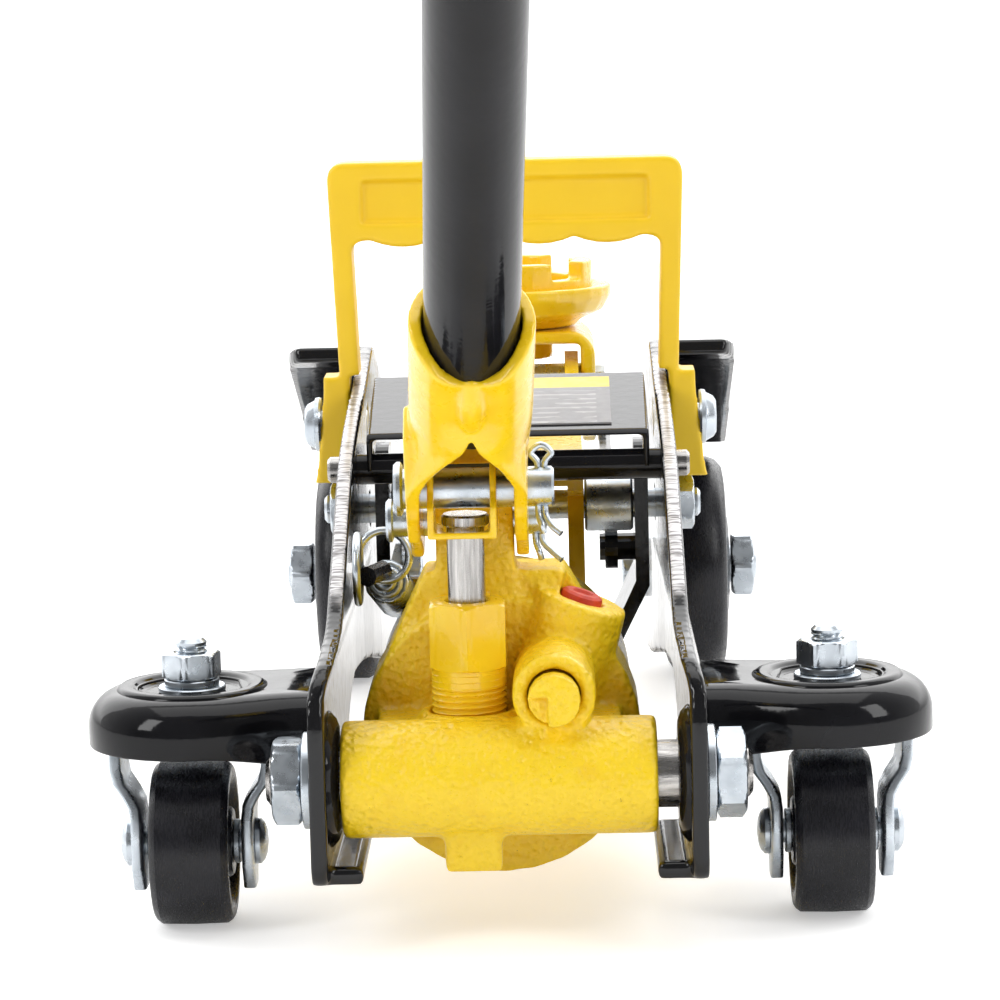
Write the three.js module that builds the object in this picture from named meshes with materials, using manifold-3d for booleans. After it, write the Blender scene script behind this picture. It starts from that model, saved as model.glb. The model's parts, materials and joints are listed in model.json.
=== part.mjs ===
// Compact hydraulic trolley jack with a pump handle, a carry handle and swivel casters.
// Frame: X to the right seen from the handle end, Y forward to the saddle, Z up, millimetres.
// The origin is on the floor, under the middle of the rear cross shaft.

import * as THREE from 'three';
import { mergeVertices } from 'three/addons/utils/BufferGeometryUtils.js';
import Module from 'manifold-3d';

const wasm = await Module();
wasm.setup();

// ---------------------------------------------------------------- driving dimensions

const GAP = 0.3;
const FINE = 28;
const ROUND = 16;
const SMALL = 12;
const TINY = 8;

const PLATE = {
  thickness: 4, outerRear: 44, outerFront: 42.5, taperLength: 250,
  joggle: 2.5, joggleLow: 62, joggleHigh: 72, joggleFadeStart: 110, joggleFadeEnd: 190,
  footBottom: 17.5, footWidth: 8, flangeReach: 64,
};
const CROSS = { z: 40, shankRadius: 8, threadRadius: 6, boltEnd: 57.5, nutStart: 48.8, nutEnd: 56 };
const TIE = { y: 97, z: 101, radius: 4, endRadius: 2.8, reach: 47 };
const PIVOT = { y: 150, z: 83, boltRadius: 4, boltReach: 51.5, nutWidth: 13, sleeveRadius: 7.5 };
const FRONT_AXLE = { y: 339, z: 35, radius: 6, headStart: 32.5, reach: 76 };
const FRONT_WHEEL = { radius: 35, inner: 43.4, outer: 67, bore: 6.4 };

const UNIT = { x: -2, z: 45, tankRadius: 32.5, castRadius: 34, boreRadius: 12.3, ramRadius: 11.8 };
const TUBE = { radius: 14, left: -39.5, right: 35 };
const PUMP = { x: -9.3, y: 12, barrelFoot: 50, hexFoot: 64, hexTop: 80.5, hexWidth: 18, neckTop: 98.4 };
const FULCRUM = { y: 32, z: 97, radius: 4, left: -29, right: 10 };
const PISTON_PIN = { y: 12, z: 107.5, radius: 5, left: -26, right: 12 };
const VALVE = { x: 11, z: 60.5, bossRadius: 10, bossFace: -8, screwRadius: 6.2 };
const FILLER = { foot: [8, 29, 48], top: [18, 28, 77.8], radius: 11.5, plugRadius: 5.4 };

const HANDLE = {
  x: -8.65, y: 28, z: 98, lean: 46, tip: 2.3,
  rim: 77, tubeRadius: 11, tubeWall: 1.5, tubeFoot: 42, length: 400, gripRadius: 14.5, gripFoot: 295,
};
const SOCKET = { outer: 14.5, inner: 11.5, foot: 38 };
const EAR = { outer: 14.3, thickness: 3.2, pinRing: 9 };

const ARM_END = { y: 335, z: 97 };
const ARM = { outer: 19.5, inner: 15.2, webThickness: 4 };
const RAM_PIN = { y: 128.4, z: 47, radius: 6 };
const LINK = { dy: 12, dz: -14, inner: 25.3, outer: 28.8, radius: 6 };
const SPRING = { x: -31, rearY: 60, rearZ: 82, hookY: 137.1, hookZ: 60.9, postZ: 62.8, radius: 6 };
const SADDLE = { y: 343, carrierTop: 113.6, carrierWidth: 25, carrierWall: 4.6, top: 135 };

const CASTER = {
  x: 77.5, y: 30, wheelY: 24, wheelRadius: 20, wheelWidth: 19, legOuter: 15, legThickness: 3.4, boltRadius: 4,
};
const CASTER_ARM = { top: 57.5, lip: 43, rootLip: 39, wall: 3, tipRadius: 25.5, rearY: 12, frontY: 60 };

const COVER = { rearY: 92, rearZ: 110.5, frontY: 144, frontZ: 120, halfWidth: 36.6, wall: 1.6, flange: 10 };
const CARRY = { y: 150, depth: 13, top: 178, barHeight: 22, outer: 48, legWidth: 6.2, bracketOuter: 53.5 };

// ---------------------------------------------------------------- materials

function material(color, roughness, metalness) {
  return new THREE.MeshStandardMaterial({ color, roughness, metalness });
}

const YELLOW_PAINT = material(0xf2c400, 0.35, 0);
const CAST_YELLOW = material(0xe8b800, 0.5, 0);
const YELLOW_PLASTIC = material(0xf6c90e, 0.45, 0);
const BLACK_PAINT = material(0x101114, 0.2, 0);
const BLACK_PLASTIC = material(0x17181a, 0.45, 0);
const BLACK_RUBBER = material(0x1c1c1c, 0.8, 0);
const ZINC = material(0xb9c2c8, 0.35, 1);
const BARE_STEEL = material(0x9a9690, 0.3, 1);
const RED_RUBBER = material(0xd02a20, 0.6, 0);
const LABEL = material(0xc9c9cc, 0.4, 0);

// ---------------------------------------------------------------- closed bodies

function indexedGeometry(positions, indices) {
  const geometry = new THREE.BufferGeometry();
  geometry.setAttribute('position', new THREE.Float32BufferAttribute(positions, 3));
  geometry.setIndex(indices);
  return geometry;
}

function enclosedVolume(positions, triangles) {
  let volume = 0;
  const [a, b, c] = [new THREE.Vector3(), new THREE.Vector3(), new THREE.Vector3()];
  for (let i = 0; i < triangles.length; i += 3) {
    a.fromArray(positions, 3 * triangles[i]);
    b.fromArray(positions, 3 * triangles[i + 1]);
    c.fromArray(positions, 3 * triangles[i + 2]);
    volume += a.dot(b.cross(c)) / 6;
  }
  return volume;
}

function facesOut(positions, triangles) {
  if (enclosedVolume(positions, triangles) > 0) return triangles;
  const flipped = [];
  for (let i = 0; i < triangles.length; i += 3) {
    flipped.push(triangles[i], triangles[i + 2], triangles[i + 1]);
  }
  return flipped;
}

// A manifold solid from any closed three.js geometry.
function solid(geometry) {
  const bare = geometry.clone();
  bare.deleteAttribute('normal');
  bare.deleteAttribute('uv');
  const merged = mergeVertices(bare, 1e-4);
  const corners = merged.index.array;
  const kept = [];
  for (let i = 0; i < corners.length; i += 3) {
    const [a, b, c] = [corners[i], corners[i + 1], corners[i + 2]];
    if (a !== b && b !== c && c !== a) kept.push(a, b, c);
  }
  const positions = merged.attributes.position.array;
  return new wasm.Manifold(new wasm.Mesh({
    numProp: 3,
    vertProperties: new Float32Array(positions),
    triVerts: new Uint32Array(facesOut(positions, kept)),
  }));
}

function geometryOf(body) {
  const { vertProperties, triVerts } = body.getMesh();
  const geometry = indexedGeometry(Array.from(vertProperties), Array.from(triVerts));
  geometry.computeVertexNormals();
  return geometry;
}

function join(...bodies) {
  return bodies.reduce((whole, body) => whole.add(body));
}

function cut(body, ...tools) {
  return tools.reduce((rest, tool) => rest.subtract(tool), body);
}

function mirrored(body) {
  const geometry = geometryOf(body);
  geometry.scale(-1, 1, 1);
  return solid(geometry);
}

function pick(side, body) {
  return side > 0 ? body : mirrored(body);
}

// ---------------------------------------------------------------- primitives

function box(x0, x1, y0, y1, z0, z1) {
  const geometry = new THREE.BoxGeometry(x1 - x0, y1 - y0, z1 - z0);
  geometry.translate((x0 + x1) / 2, (y0 + y1) / 2, (z0 + z1) / 2);
  return solid(geometry);
}

// A cylinder, cone or hexagonal bar between two points; turn rotates its corners about the axis.
function bar(from, to, radius, segments = ROUND, endRadius = radius, turn = 0) {
  const start = new THREE.Vector3(...from);
  const end = new THREE.Vector3(...to);
  const geometry = new THREE.CylinderGeometry(endRadius, radius, start.distanceTo(end), segments);
  geometry.rotateY(turn);
  const direction = end.clone().sub(start).normalize();
  const spin = new THREE.Quaternion().setFromUnitVectors(new THREE.Vector3(0, 1, 0), direction);
  geometry.applyQuaternion(spin);
  const middle = start.add(end).multiplyScalar(0.5);
  geometry.translate(middle.x, middle.y, middle.z);
  return solid(geometry);
}

function barX(radius, x0, x1, y, z, segments = ROUND) {
  return bar([x0, y, z], [x1, y, z], radius, segments);
}

function barY(radius, y0, y1, x, z, segments = ROUND) {
  return bar([x, y0, z], [x, y1, z], radius, segments);
}

function barZ(radius, z0, z1, x, y, segments = ROUND) {
  return bar([x, y, z0], [x, y, z1], radius, segments);
}

const HEX_CORNER = 1 / Math.cos(Math.PI / 6);

function hexX(width, x0, x1, y, z, turn = 0) {
  return bar([x0, y, z], [x1, y, z], (width / 2) * HEX_CORNER, 6, (width / 2) * HEX_CORNER, turn);
}

function hexZ(width, z0, z1, x, y, turn = 0) {
  return bar([x, y, z0], [x, y, z1], (width / 2) * HEX_CORNER, 6, (width / 2) * HEX_CORNER, turn);
}

function outline(points) {
  return new THREE.Shape(points.map(([a, b]) => new THREE.Vector2(a, b)));
}

// An outline drawn in Y and Z, pushed along X.
function prismX(shape, x0, x1, curveSegments = 8) {
  const geometry = new THREE.ExtrudeGeometry(shape, { depth: x1 - x0, bevelEnabled: false, curveSegments });
  const turn = new THREE.Matrix4().makeBasis(
    new THREE.Vector3(0, 1, 0), new THREE.Vector3(0, 0, 1), new THREE.Vector3(1, 0, 0));
  geometry.applyMatrix4(turn);
  geometry.translate(x0, 0, 0);
  return solid(geometry);
}

// An outline drawn in X and Z, pushed along Y.
function prismY(shape, y0, y1, curveSegments = 8) {
  const geometry = new THREE.ExtrudeGeometry(shape, { depth: y1 - y0, bevelEnabled: false, curveSegments });
  geometry.rotateX(Math.PI / 2);
  geometry.translate(0, y1, 0);
  return solid(geometry);
}

// An outline drawn in X and Y, pushed along Z.
function prismZ(shape, z0, z1, curveSegments = 8) {
  const geometry = new THREE.ExtrudeGeometry(shape, { depth: z1 - z0, bevelEnabled: false, curveSegments });
  geometry.translate(0, 0, z0);
  return solid(geometry);
}

function lathe(profile, segments = FINE) {
  return solid(new THREE.LatheGeometry(profile.map(([r, h]) => new THREE.Vector2(r, h)), segments));
}

function wire(points, radius, steps, sides = 6) {
  const path = new THREE.CatmullRomCurve3(points.map((point) => new THREE.Vector3(...point)));
  const section = [];
  for (let i = 0; i < sides; i += 1) {
    const angle = (2 * Math.PI * i) / sides;
    section.push([radius * Math.cos(angle), radius * Math.sin(angle)]);
  }
  const settings = { steps, extrudePath: path, bevelEnabled: false };
  return solid(new THREE.ExtrudeGeometry(outline(section), settings));
}

// ---------------------------------------------------------------- side plates

function plateOuter(y, z) {
  const taper = THREE.MathUtils.clamp(y / PLATE.taperLength, 0, 1);
  const fade = 1 - THREE.MathUtils.smoothstep(y, PLATE.joggleFadeStart, PLATE.joggleFadeEnd);
  const step = 1 - THREE.MathUtils.smoothstep(z, PLATE.joggleLow, PLATE.joggleHigh);
  return THREE.MathUtils.lerp(PLATE.outerRear, PLATE.outerFront, taper) + PLATE.joggle * fade * step;
}

// A slab of even thickness whose outer face follows plateOuter over a grid of stations.
function warpedSlab(ys, zs) {
  const positions = [];
  const indices = [];
  const columns = zs.length;
  const layer = ys.length * columns;
  for (const inset of [0, PLATE.thickness]) {
    for (const y of ys) {
      for (const z of zs) positions.push(plateOuter(y, z) - inset, y, z);
    }
  }
  const quad = (a, b, c, d) => indices.push(a, b, c, a, c, d);
  for (let i = 0; i < ys.length - 1; i += 1) {
    for (let j = 0; j < columns - 1; j += 1) {
      const corner = i * columns + j;
      quad(corner, corner + columns, corner + columns + 1, corner + 1);
      quad(layer + corner, layer + corner + 1, layer + corner + columns + 1, layer + corner + columns);
    }
  }
  for (let i = 0; i < ys.length - 1; i += 1) {
    const low = i * columns;
    const high = low + columns - 1;
    quad(low, layer + low, layer + low + columns, low + columns);
    quad(high, high + columns, layer + high + columns, layer + high);
  }
  for (let j = 0; j < columns - 1; j += 1) {
    const rear = j;
    const front = (ys.length - 1) * columns + j;
    quad(rear, rear + 1, layer + rear + 1, layer + rear);
    quad(front, layer + front, layer + front + 1, front + 1);
  }
  return solid(indexedGeometry(positions, indices));
}

function plateShape() {
  const shape = new THREE.Shape();
  shape.moveTo(-13, PLATE.footBottom);
  shape.lineTo(33, PLATE.footBottom);
  shape.bezierCurveTo(50, 20, 70, 44, 105, 45);
  shape.bezierCurveTo(140, 45, 180, 36, 204, 31);
  shape.bezierCurveTo(240, 24, 290, 18, 339, 17);
  shape.absarc(FRONT_AXLE.y, FRONT_AXLE.z, 18, -Math.PI / 2, 0, false);
  shape.lineTo(354, 74);
  shape.lineTo(300, 84);
  shape.lineTo(200, 121);
  shape.bezierCurveTo(190, 125, 180, 125, 168, 122);
  shape.bezierCurveTo(130, 114, 95, 111, 76, 103);
  shape.lineTo(30, 79);
  shape.bezierCurveTo(20, 73, 8, 71, -2, 70);
  shape.bezierCurveTo(-14, 69, -18, 62, -18, 52);
  shape.lineTo(-18, 23);
  shape.bezierCurveTo(-18, 20, -16, PLATE.footBottom, -13, PLATE.footBottom);
  return shape;
}

// The strip bent outward along the plate's top edge, over the front wheel.
function wheelFlange() {
  const strip = new THREE.Shape();
  strip.moveTo(186, 119.8);
  strip.lineTo(199, 117);
  strip.lineTo(300, 79.8);
  strip.lineTo(352, 75);
  strip.lineTo(354, 79);
  strip.lineTo(300, 84);
  strip.lineTo(200, 121.3);
  strip.lineTo(187, 124);
  const plan = new THREE.Shape();
  plan.moveTo(PLATE.outerFront - 3, 180);
  plan.lineTo(PLATE.flangeReach - 9, 180);
  plan.quadraticCurveTo(PLATE.flangeReach, 186, PLATE.flangeReach, 204);
  plan.lineTo(PLATE.flangeReach + 2, 346);
  plan.lineTo(PLATE.flangeReach - 4, 356);
  plan.lineTo(PLATE.outerFront - 3, 356);
  return prismX(strip, PLATE.outerFront - 3, PLATE.flangeReach + 2).intersect(prismZ(plan, 60, 130));
}

function sidePlate(side) {
  const stations = [-20, PLATE.joggleFadeStart, 137, 163, PLATE.joggleFadeEnd, PLATE.taperLength, 362];
  const levels = [15, PLATE.joggleLow, 65, 69, PLATE.joggleHigh, 128];
  const web = warpedSlab(stations, levels).intersect(prismX(plateShape(), 30, 60, 5));
  const innerRear = PLATE.outerRear + PLATE.joggle - PLATE.thickness;
  const footTop = PLATE.footBottom + PLATE.thickness;
  const foot = box(innerRear - PLATE.footWidth, innerRear + 1, -13, 33, PLATE.footBottom, footTop);
  const holes = [
    barX(CROSS.threadRadius + GAP, 30, 60, 0, CROSS.z),
    barX(TIE.endRadius + GAP, 30, 60, TIE.y, TIE.z, SMALL),
    barX(PIVOT.boltRadius + GAP, 30, 60, PIVOT.y, PIVOT.z, SMALL),
    barX(FRONT_AXLE.radius + GAP, 30, 60, FRONT_AXLE.y, FRONT_AXLE.z, SMALL),
    barX(4.2, 30, 60, CARRY.y, 106.5, SMALL),
  ];
  return pick(side, cut(join(web, foot, wheelFlange()), ...holes));
}

// ---------------------------------------------------------------- caster arms and casters

function armPlan(inset) {
  const radius = CASTER_ARM.tipRadius - inset;
  const root = PLATE.outerRear + PLATE.joggle - 8;
  const shape = new THREE.Shape();
  shape.moveTo(root, CASTER_ARM.rearY + inset);
  shape.lineTo(root + 20, CASTER_ARM.rearY + inset);
  shape.quadraticCurveTo(CASTER.x - 11, CASTER.y - radius, CASTER.x, CASTER.y - radius);
  shape.absarc(CASTER.x, CASTER.y, radius, -Math.PI / 2, Math.PI / 2, false);
  shape.lineTo(root, CASTER_ARM.frontY - inset);
  return shape;
}

function casterArm(side) {
  const root = PLATE.outerRear + PLATE.joggle;
  const beyond = CASTER.x + CASTER_ARM.tipRadius + 3;
  const lip = outline([[root + GAP, CASTER_ARM.rootLip], [root + 12, CASTER_ARM.rootLip],
    [root + 22, CASTER_ARM.lip], [beyond, CASTER_ARM.lip + 1], [beyond, CASTER_ARM.top],
    [root + GAP, CASTER_ARM.top]]);
  const skin = prismZ(armPlan(0), 30, CASTER_ARM.top, 10).intersect(prismY(lip, -5, 70));
  const hollow = prismZ(armPlan(CASTER_ARM.wall), 20, CASTER_ARM.top - CASTER_ARM.wall, 10);
  const recess = barZ(13, CASTER_ARM.top - 1.2, 70, CASTER.x, CASTER.y, FINE);
  const bore = barZ(4 + GAP, 30, 70, CASTER.x, CASTER.y, SMALL);
  return pick(side, cut(skin, hollow, recess, bore));
}

function casterBolt(side) {
  const seat = CASTER_ARM.top - 1.2 + 0.1;
  const [x, y] = [CASTER.x, CASTER.y];
  const washer = barZ(8, seat, seat + 3, x, y, ROUND);
  const nut = hexZ(13, seat + 3, seat + 9.6, x, y, Math.PI / 6);
  return pick(side, join(barZ(4, 44.6, 69.5, x, y, SMALL), washer, nut));
}

function forkLeg() {
  const outer = CASTER.legOuter;
  const inner = outer - CASTER.legThickness;
  const leg = new THREE.Shape();
  leg.moveTo(16, 49);
  leg.lineTo(18.5, 49);
  leg.quadraticCurveTo(20, 48, 20, 45);
  leg.lineTo(20, 39);
  leg.bezierCurveTo(20, 34, outer, 33, outer, 27);
  leg.lineTo(outer, 9);
  leg.lineTo(inner, 9);
  leg.lineTo(inner, 26);
  leg.bezierCurveTo(inner, 32, 16.6, 33, 16.6, 39);
  leg.lineTo(16.6, 46);
  leg.lineTo(16, 46);
  const side = outline([[20, 49.5], [40, 49.5], [40, 42], [33, 26], [33, 12], [29, 7.5], [19, 7.5], [15, 12],
    [15, 30], [20, 44]]);
  return prismY(leg, 10, 45, 4).intersect(prismX(side, 5, 25));
}

function casterFork() {
  const leg = forkLeg();
  const cup = barZ(18, 46, 49, 0, CASTER.y, FINE);
  const bearing = barZ(13, 48.5, 53.6, 0, CASTER.y, ROUND);
  const body = join(cup, bearing, leg, mirrored(leg));
  const axleHole = barX(3 + GAP, -30, 30, CASTER.wheelY, CASTER.wheelRadius, SMALL);
  return cut(body, barZ(4 + GAP, 40, 60, 0, CASTER.y, SMALL), axleHole);
}

function casterWheel() {
  const half = CASTER.wheelWidth / 2;
  const r = CASTER.wheelRadius;
  return lathe([[4.4, -half], [9, -half], [9, -half + 1.5], [16, -half + 1.5], [17, -half], [r - 1.4, -half],
    [r, -half + 2], [r, half - 2], [r - 1.4, half], [17, half], [16, half - 1.5], [9, half - 1.5],
    [9, half], [4.4, half], [4.4, -half]], ROUND + 4);
}

function casterAxle() {
  const inside = CASTER.legOuter - CASTER.legThickness - 0.2;
  const outside = CASTER.legOuter + 0.2;
  return join(
    barX(4.1, -inside, inside, 0, 0, SMALL),
    barX(3, -outside - 1, outside + 1, 0, 0, SMALL),
    barX(6, -outside - 2.6, -outside, 0, 0, SMALL),
    barX(6, outside, outside + 2.6, 0, 0, SMALL));
}

// ---------------------------------------------------------------- chassis hardware

function crossShaft() {
  const inner = PLATE.outerRear + PLATE.joggle - PLATE.thickness - GAP;
  return join(barX(CROSS.shankRadius, -inner, inner, 0, CROSS.z, ROUND),
    barX(CROSS.threadRadius, -CROSS.boltEnd, CROSS.boltEnd, 0, CROSS.z, ROUND));
}

function nut(width, thickness, hole, turn) {
  return cut(hexX(width, 0, thickness, 0, 0, turn), barX(hole, -1, thickness + 1, 0, 0, SMALL));
}

function tieRod() {
  const inner = plateOuter(TIE.y, TIE.z) - PLATE.thickness - GAP;
  return join(barX(TIE.radius, -inner, inner, TIE.y, TIE.z, SMALL),
    barX(TIE.endRadius, -TIE.reach, TIE.reach, TIE.y, TIE.z, SMALL));
}

function pivotBolt() {
  return barX(PIVOT.boltRadius, -PIVOT.boltReach, PIVOT.boltReach, PIVOT.y, PIVOT.z, SMALL);
}

function pivotSleeve(side) {
  const ring = barX(PIVOT.sleeveRadius, ARM.outer + GAP, 33, PIVOT.y, PIVOT.z, ROUND);
  return pick(side, cut(ring, barX(PIVOT.boltRadius + GAP, 10, 40, PIVOT.y, PIVOT.z, SMALL)));
}

// The black stiffener on the lift arm's pivot; the right one is bent inward and carries the link's stud.
function pivotBracket(side) {
  const sheet = side > 0
    ? outline([[33.3, 102], [37, 102], [37, 62], [29.4, 47], [26, 48], [33.3, 63.4]])
    : outline([[33.3, 102], [37, 102], [37, 70], [33.3, 70]]);
  const profile = new THREE.Shape();
  profile.moveTo(137, 44);
  profile.lineTo(172, 44);
  profile.lineTo(172, 72);
  profile.lineTo(163, 96);
  profile.quadraticCurveTo(160, 101, 150, 101);
  profile.quadraticCurveTo(140, 101, 137, 92);
  const body = prismY(sheet, 135, 175).intersect(prismX(profile, 20, 40));
  const bored = cut(body, barX(PIVOT.boltRadius + GAP, 10, 50, PIVOT.y, PIVOT.z, SMALL));
  const linkStud = barX(3.8, LINK.inner - 1.5, 35, PIVOT.y + LINK.dy, PIVOT.z + LINK.dz, SMALL);
  return side > 0 ? bored.add(linkStud) : mirrored(bored);
}

function coverPlate() {
  const { rearY, rearZ, frontY, frontZ, halfWidth, wall, flange } = COVER;
  const rearRound = outline([[rearY, rearZ - flange], [rearY, rearZ - 1.5], [rearY + 1.5, rearZ],
    [frontY, frontZ], [frontY, frontZ - flange]]);
  const shell = prismX(rearRound, -halfWidth, halfWidth);
  const slopeRise = 5 * (frontZ - rearZ) / (frontY - rearY);
  const inside = outline([[rearY - 5, rearZ - flange - 5], [rearY - 5, rearZ - wall - slopeRise],
    [frontY + 5, frontZ - wall + slopeRise], [frontY + 5, frontZ - flange - 5]]);
  const hollow = prismX(inside, -halfWidth + wall, halfWidth - wall);
  return cut(shell, hollow, barX(TIE.radius + 0.5, -60, 60, TIE.y, TIE.z, SMALL));
}

function labelPlate() {
  const { rearY, rearZ, frontY, frontZ } = COVER;
  const rise = (frontZ - rearZ) / (frontY - rearY - 1.5);
  const at = (y, lift) => [y, rearZ + rise * (y - rearY - 1.5) + lift];
  const [rear, front, halfWidth] = [rearY + 6, frontY - 6, 27];
  return prismX(outline([at(rear, 0.1), at(front, 0.1), at(front, 0.5), at(rear, 0.5)]), -halfWidth, halfWidth);
}

function carryHandle() {
  const { y, depth, top, barHeight, outer, legWidth, bracketOuter } = CARRY;
  const skin = plateOuter(y, 100) + GAP;
  const outside = new THREE.Shape();
  outside.moveTo(outer - 2, 118);
  outside.lineTo(outer, top - 5);
  outside.quadraticCurveTo(outer, top, outer - 5, top);
  outside.lineTo(-outer + 5, top);
  outside.quadraticCurveTo(-outer, top, -outer, top - 5);
  outside.lineTo(-outer + 2, 118);
  const inner = outer - legWidth;
  const window = new THREE.Shape();
  window.moveTo(inner - 1.4, 110);
  window.lineTo(inner, top - barHeight - 2);
  window.quadraticCurveTo(inner, top - barHeight + 1, inner - 5, top - barHeight + 1);
  const waves = 4;
  const span = 2 * (inner - 5) / waves;
  for (let i = 0; i < waves; i += 1) {
    const start = inner - 5 - i * span;
    window.quadraticCurveTo(start - span / 2, top - barHeight - 3, start - span, top - barHeight + 1);
  }
  window.quadraticCurveTo(-inner, top - barHeight + 1, -inner, top - barHeight - 2);
  window.lineTo(-inner + 1.4, 110);
  const slab = prismY(outside, y - depth / 2, y + depth / 2, 6);
  const frameBody = cut(slab, prismY(window, y - depth, y + depth, 6));
  const panel = box(-inner + 3, inner - 3, y - depth, y - depth / 2 + 1.6, top - barHeight + 5.5, top - 5);
  const bracket = box(skin, bracketOuter, y - depth / 2, y + depth / 2, 91, 120);
  const clearance = box(-skin, skin, y - depth, y + depth, 80, 120.4);
  const legs = cut(frameBody, panel, clearance);
  const whole = join(legs, bracket, mirrored(bracket));
  return cut(whole, barX(4.2, -60, 60, y, 106.5, SMALL));
}

function carryBolt(side) {
  const shank = barX(3.8, plateOuter(CARRY.y, 106) - PLATE.thickness, 54.2, CARRY.y, 106.5, SMALL);
  const washer = barX(7.5, CARRY.bracketOuter + GAP, 55, CARRY.y, 106.5, SMALL);
  const head = hexX(10, 54.5, 58.6, CARRY.y, 106.5);
  return pick(side, join(shank, washer, head));
}

// ---------------------------------------------------------------- front wheels

function frontWheel(side) {
  const { radius, inner, outer, bore } = FRONT_WHEEL;
  const width = outer - inner;
  const profile = [[bore, 0], [22, 0], [26, 3], [radius - 3, 3], [radius, 5], [radius, width - 5],
    [radius - 3, width - 1.4], [radius - 8, width - 0.6], [16, width], [bore, width], [bore, 0]];
  const geometry = geometryOf(lathe(profile, FINE));
  geometry.rotateZ(-Math.PI / 2);
  geometry.translate(inner, 0, 0);
  return pick(side, solid(geometry));
}

function frontAxle(side) {
  const shank = barX(FRONT_AXLE.radius, FRONT_AXLE.headStart + 3, FRONT_AXLE.reach, 0, 0, ROUND);
  const headEnd = plateOuter(FRONT_AXLE.y, FRONT_AXLE.z) - PLATE.thickness - GAP;
  return pick(side, join(shank, hexX(19, FRONT_AXLE.headStart, headEnd, 0, 0)));
}

// ---------------------------------------------------------------- hydraulic power unit

function powerUnitCasting() {
  const { x, z, castRadius, boreRadius } = UNIT;
  const tube = barX(TUBE.radius, TUBE.left, TUBE.right, 0, CROSS.z, FINE);
  const neck = box(TUBE.left + 8, TUBE.right - 8, 0, 26, 29, 52);
  const drum = barY(castRadius, 23, 48, x, z, FINE);
  const web = prismY(outline([[x - 31, 58], [-20, 85], [14, 85], [x + 31, 58]]), 26, 46);
  const foot = prismX(outline([[-7, 30], [-5, 18], [5, 18], [7, 30]]), -15.5, -2);
  const pumpPad = barZ(12, 40, 54.5, PUMP.x, PUMP.y, ROUND);
  const postShape = new THREE.Shape();
  postShape.moveTo(25, 60);
  postShape.lineTo(25, FULCRUM.z);
  postShape.absarc(FULCRUM.y, FULCRUM.z, 7, Math.PI, 0, true);
  postShape.lineTo(40, 80);
  postShape.lineTo(40, 60);
  const post = prismX(postShape, -17, 2);
  const valveBoss = barY(VALVE.bossRadius, VALVE.bossFace, 20, VALVE.x, VALVE.z, ROUND);
  const filler = bar(FILLER.foot, FILLER.top, FILLER.radius + 2, 28, FILLER.radius);
  const ramBarrel = barY(17, 45, 98.5, x, z, FINE);
  const whole = join(tube, neck, drum, web, foot, pumpPad, post, valveBoss, filler, ramBarrel);
  const plugSeat = bar(pointOnFiller(-5), pointOnFiller(5), FILLER.plugRadius + GAP, SMALL);
  return cut(whole,
    barX(CROSS.shankRadius + GAP, -60, 60, 0, CROSS.z, ROUND),
    barX(FULCRUM.radius + GAP, -30, 20, FULCRUM.y, FULCRUM.z, SMALL),
    barZ(9.5, PUMP.barrelFoot - GAP, 62, PUMP.x, PUMP.y, ROUND),
    barY(VALVE.screwRadius + GAP, -20, 6, VALVE.x, VALVE.z, ROUND),
    barY(boreRadius, 55, 110, x, z, FINE),
    plugSeat);
}

// A point on the filler's slanted axis, so far past its top face.
function pointOnFiller(beyond) {
  const foot = new THREE.Vector3(...FILLER.foot);
  const top = new THREE.Vector3(...FILLER.top);
  const axis = top.clone().sub(foot).normalize();
  return top.addScaledVector(axis, beyond).toArray();
}

function fillerPlug() {
  return bar(pointOnFiller(-4.6), pointOnFiller(1.4), FILLER.plugRadius, SMALL);
}

function reservoirTube() {
  const ring = barY(UNIT.tankRadius, 48 + GAP, 98.5, UNIT.x, UNIT.z, FINE);
  return cut(ring, barY(UNIT.tankRadius - 2.5, 40, 110, UNIT.x, UNIT.z, FINE));
}

function reservoirCap() {
  const disc = join(barY(31, 98.8, 104, UNIT.x, UNIT.z, FINE), barY(20, 103, 108, UNIT.x, UNIT.z, 6));
  return cut(disc, barY(UNIT.boreRadius, 90, 120, UNIT.x, UNIT.z, FINE));
}

function pumpBarrel() {
  const { x, y, barrelFoot, hexFoot, hexTop, hexWidth } = PUMP;
  const thread = barZ(9.1, barrelFoot, hexFoot + 1, x, y, ROUND);
  const hex = hexZ(hexWidth, hexFoot, hexTop, x, y, Math.PI / 6);
  return cut(join(thread, hex), barZ(4.5 + GAP, barrelFoot + 4, 90, x, y, SMALL));
}

function pumpPiston() {
  const { x, y, barrelFoot, neckTop } = PUMP;
  const rod = barZ(4.5, barrelFoot + 15, neckTop + 1, x, y, SMALL);
  return join(rod, barZ(5.7, neckTop, neckTop + 3, x, y, SMALL));
}

// The strap that hangs on the piston pin and hooks under the piston's head.
function pistonBracket() {
  const centre = -9.8;
  const side = new THREE.Shape();
  side.moveTo(2, 96.6);
  side.lineTo(18.5, 96.6);
  side.lineTo(PISTON_PIN.y + 7.3, PISTON_PIN.z);
  side.absarc(PISTON_PIN.y, PISTON_PIN.z, 7.3, 0, Math.PI, false);
  side.lineTo(2, 104);
  const outside = prismX(side, centre - 8.2, centre + 8.2);
  const hollow = box(centre - 6.6, centre + 6.6, -10, 40, 98.1, 130);
  const slotRadius = 5.2;
  const neckSlot = join(box(PUMP.x - slotRadius, PUMP.x + slotRadius, 7.5, 40, 90, 99),
    barZ(slotRadius, 90, 99, PUMP.x, 8.5, SMALL));
  const pinHole = barX(PISTON_PIN.radius + GAP, -30, 20, PISTON_PIN.y, PISTON_PIN.z, SMALL);
  return cut(outside, hollow, neckSlot, pinHole);
}

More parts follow.
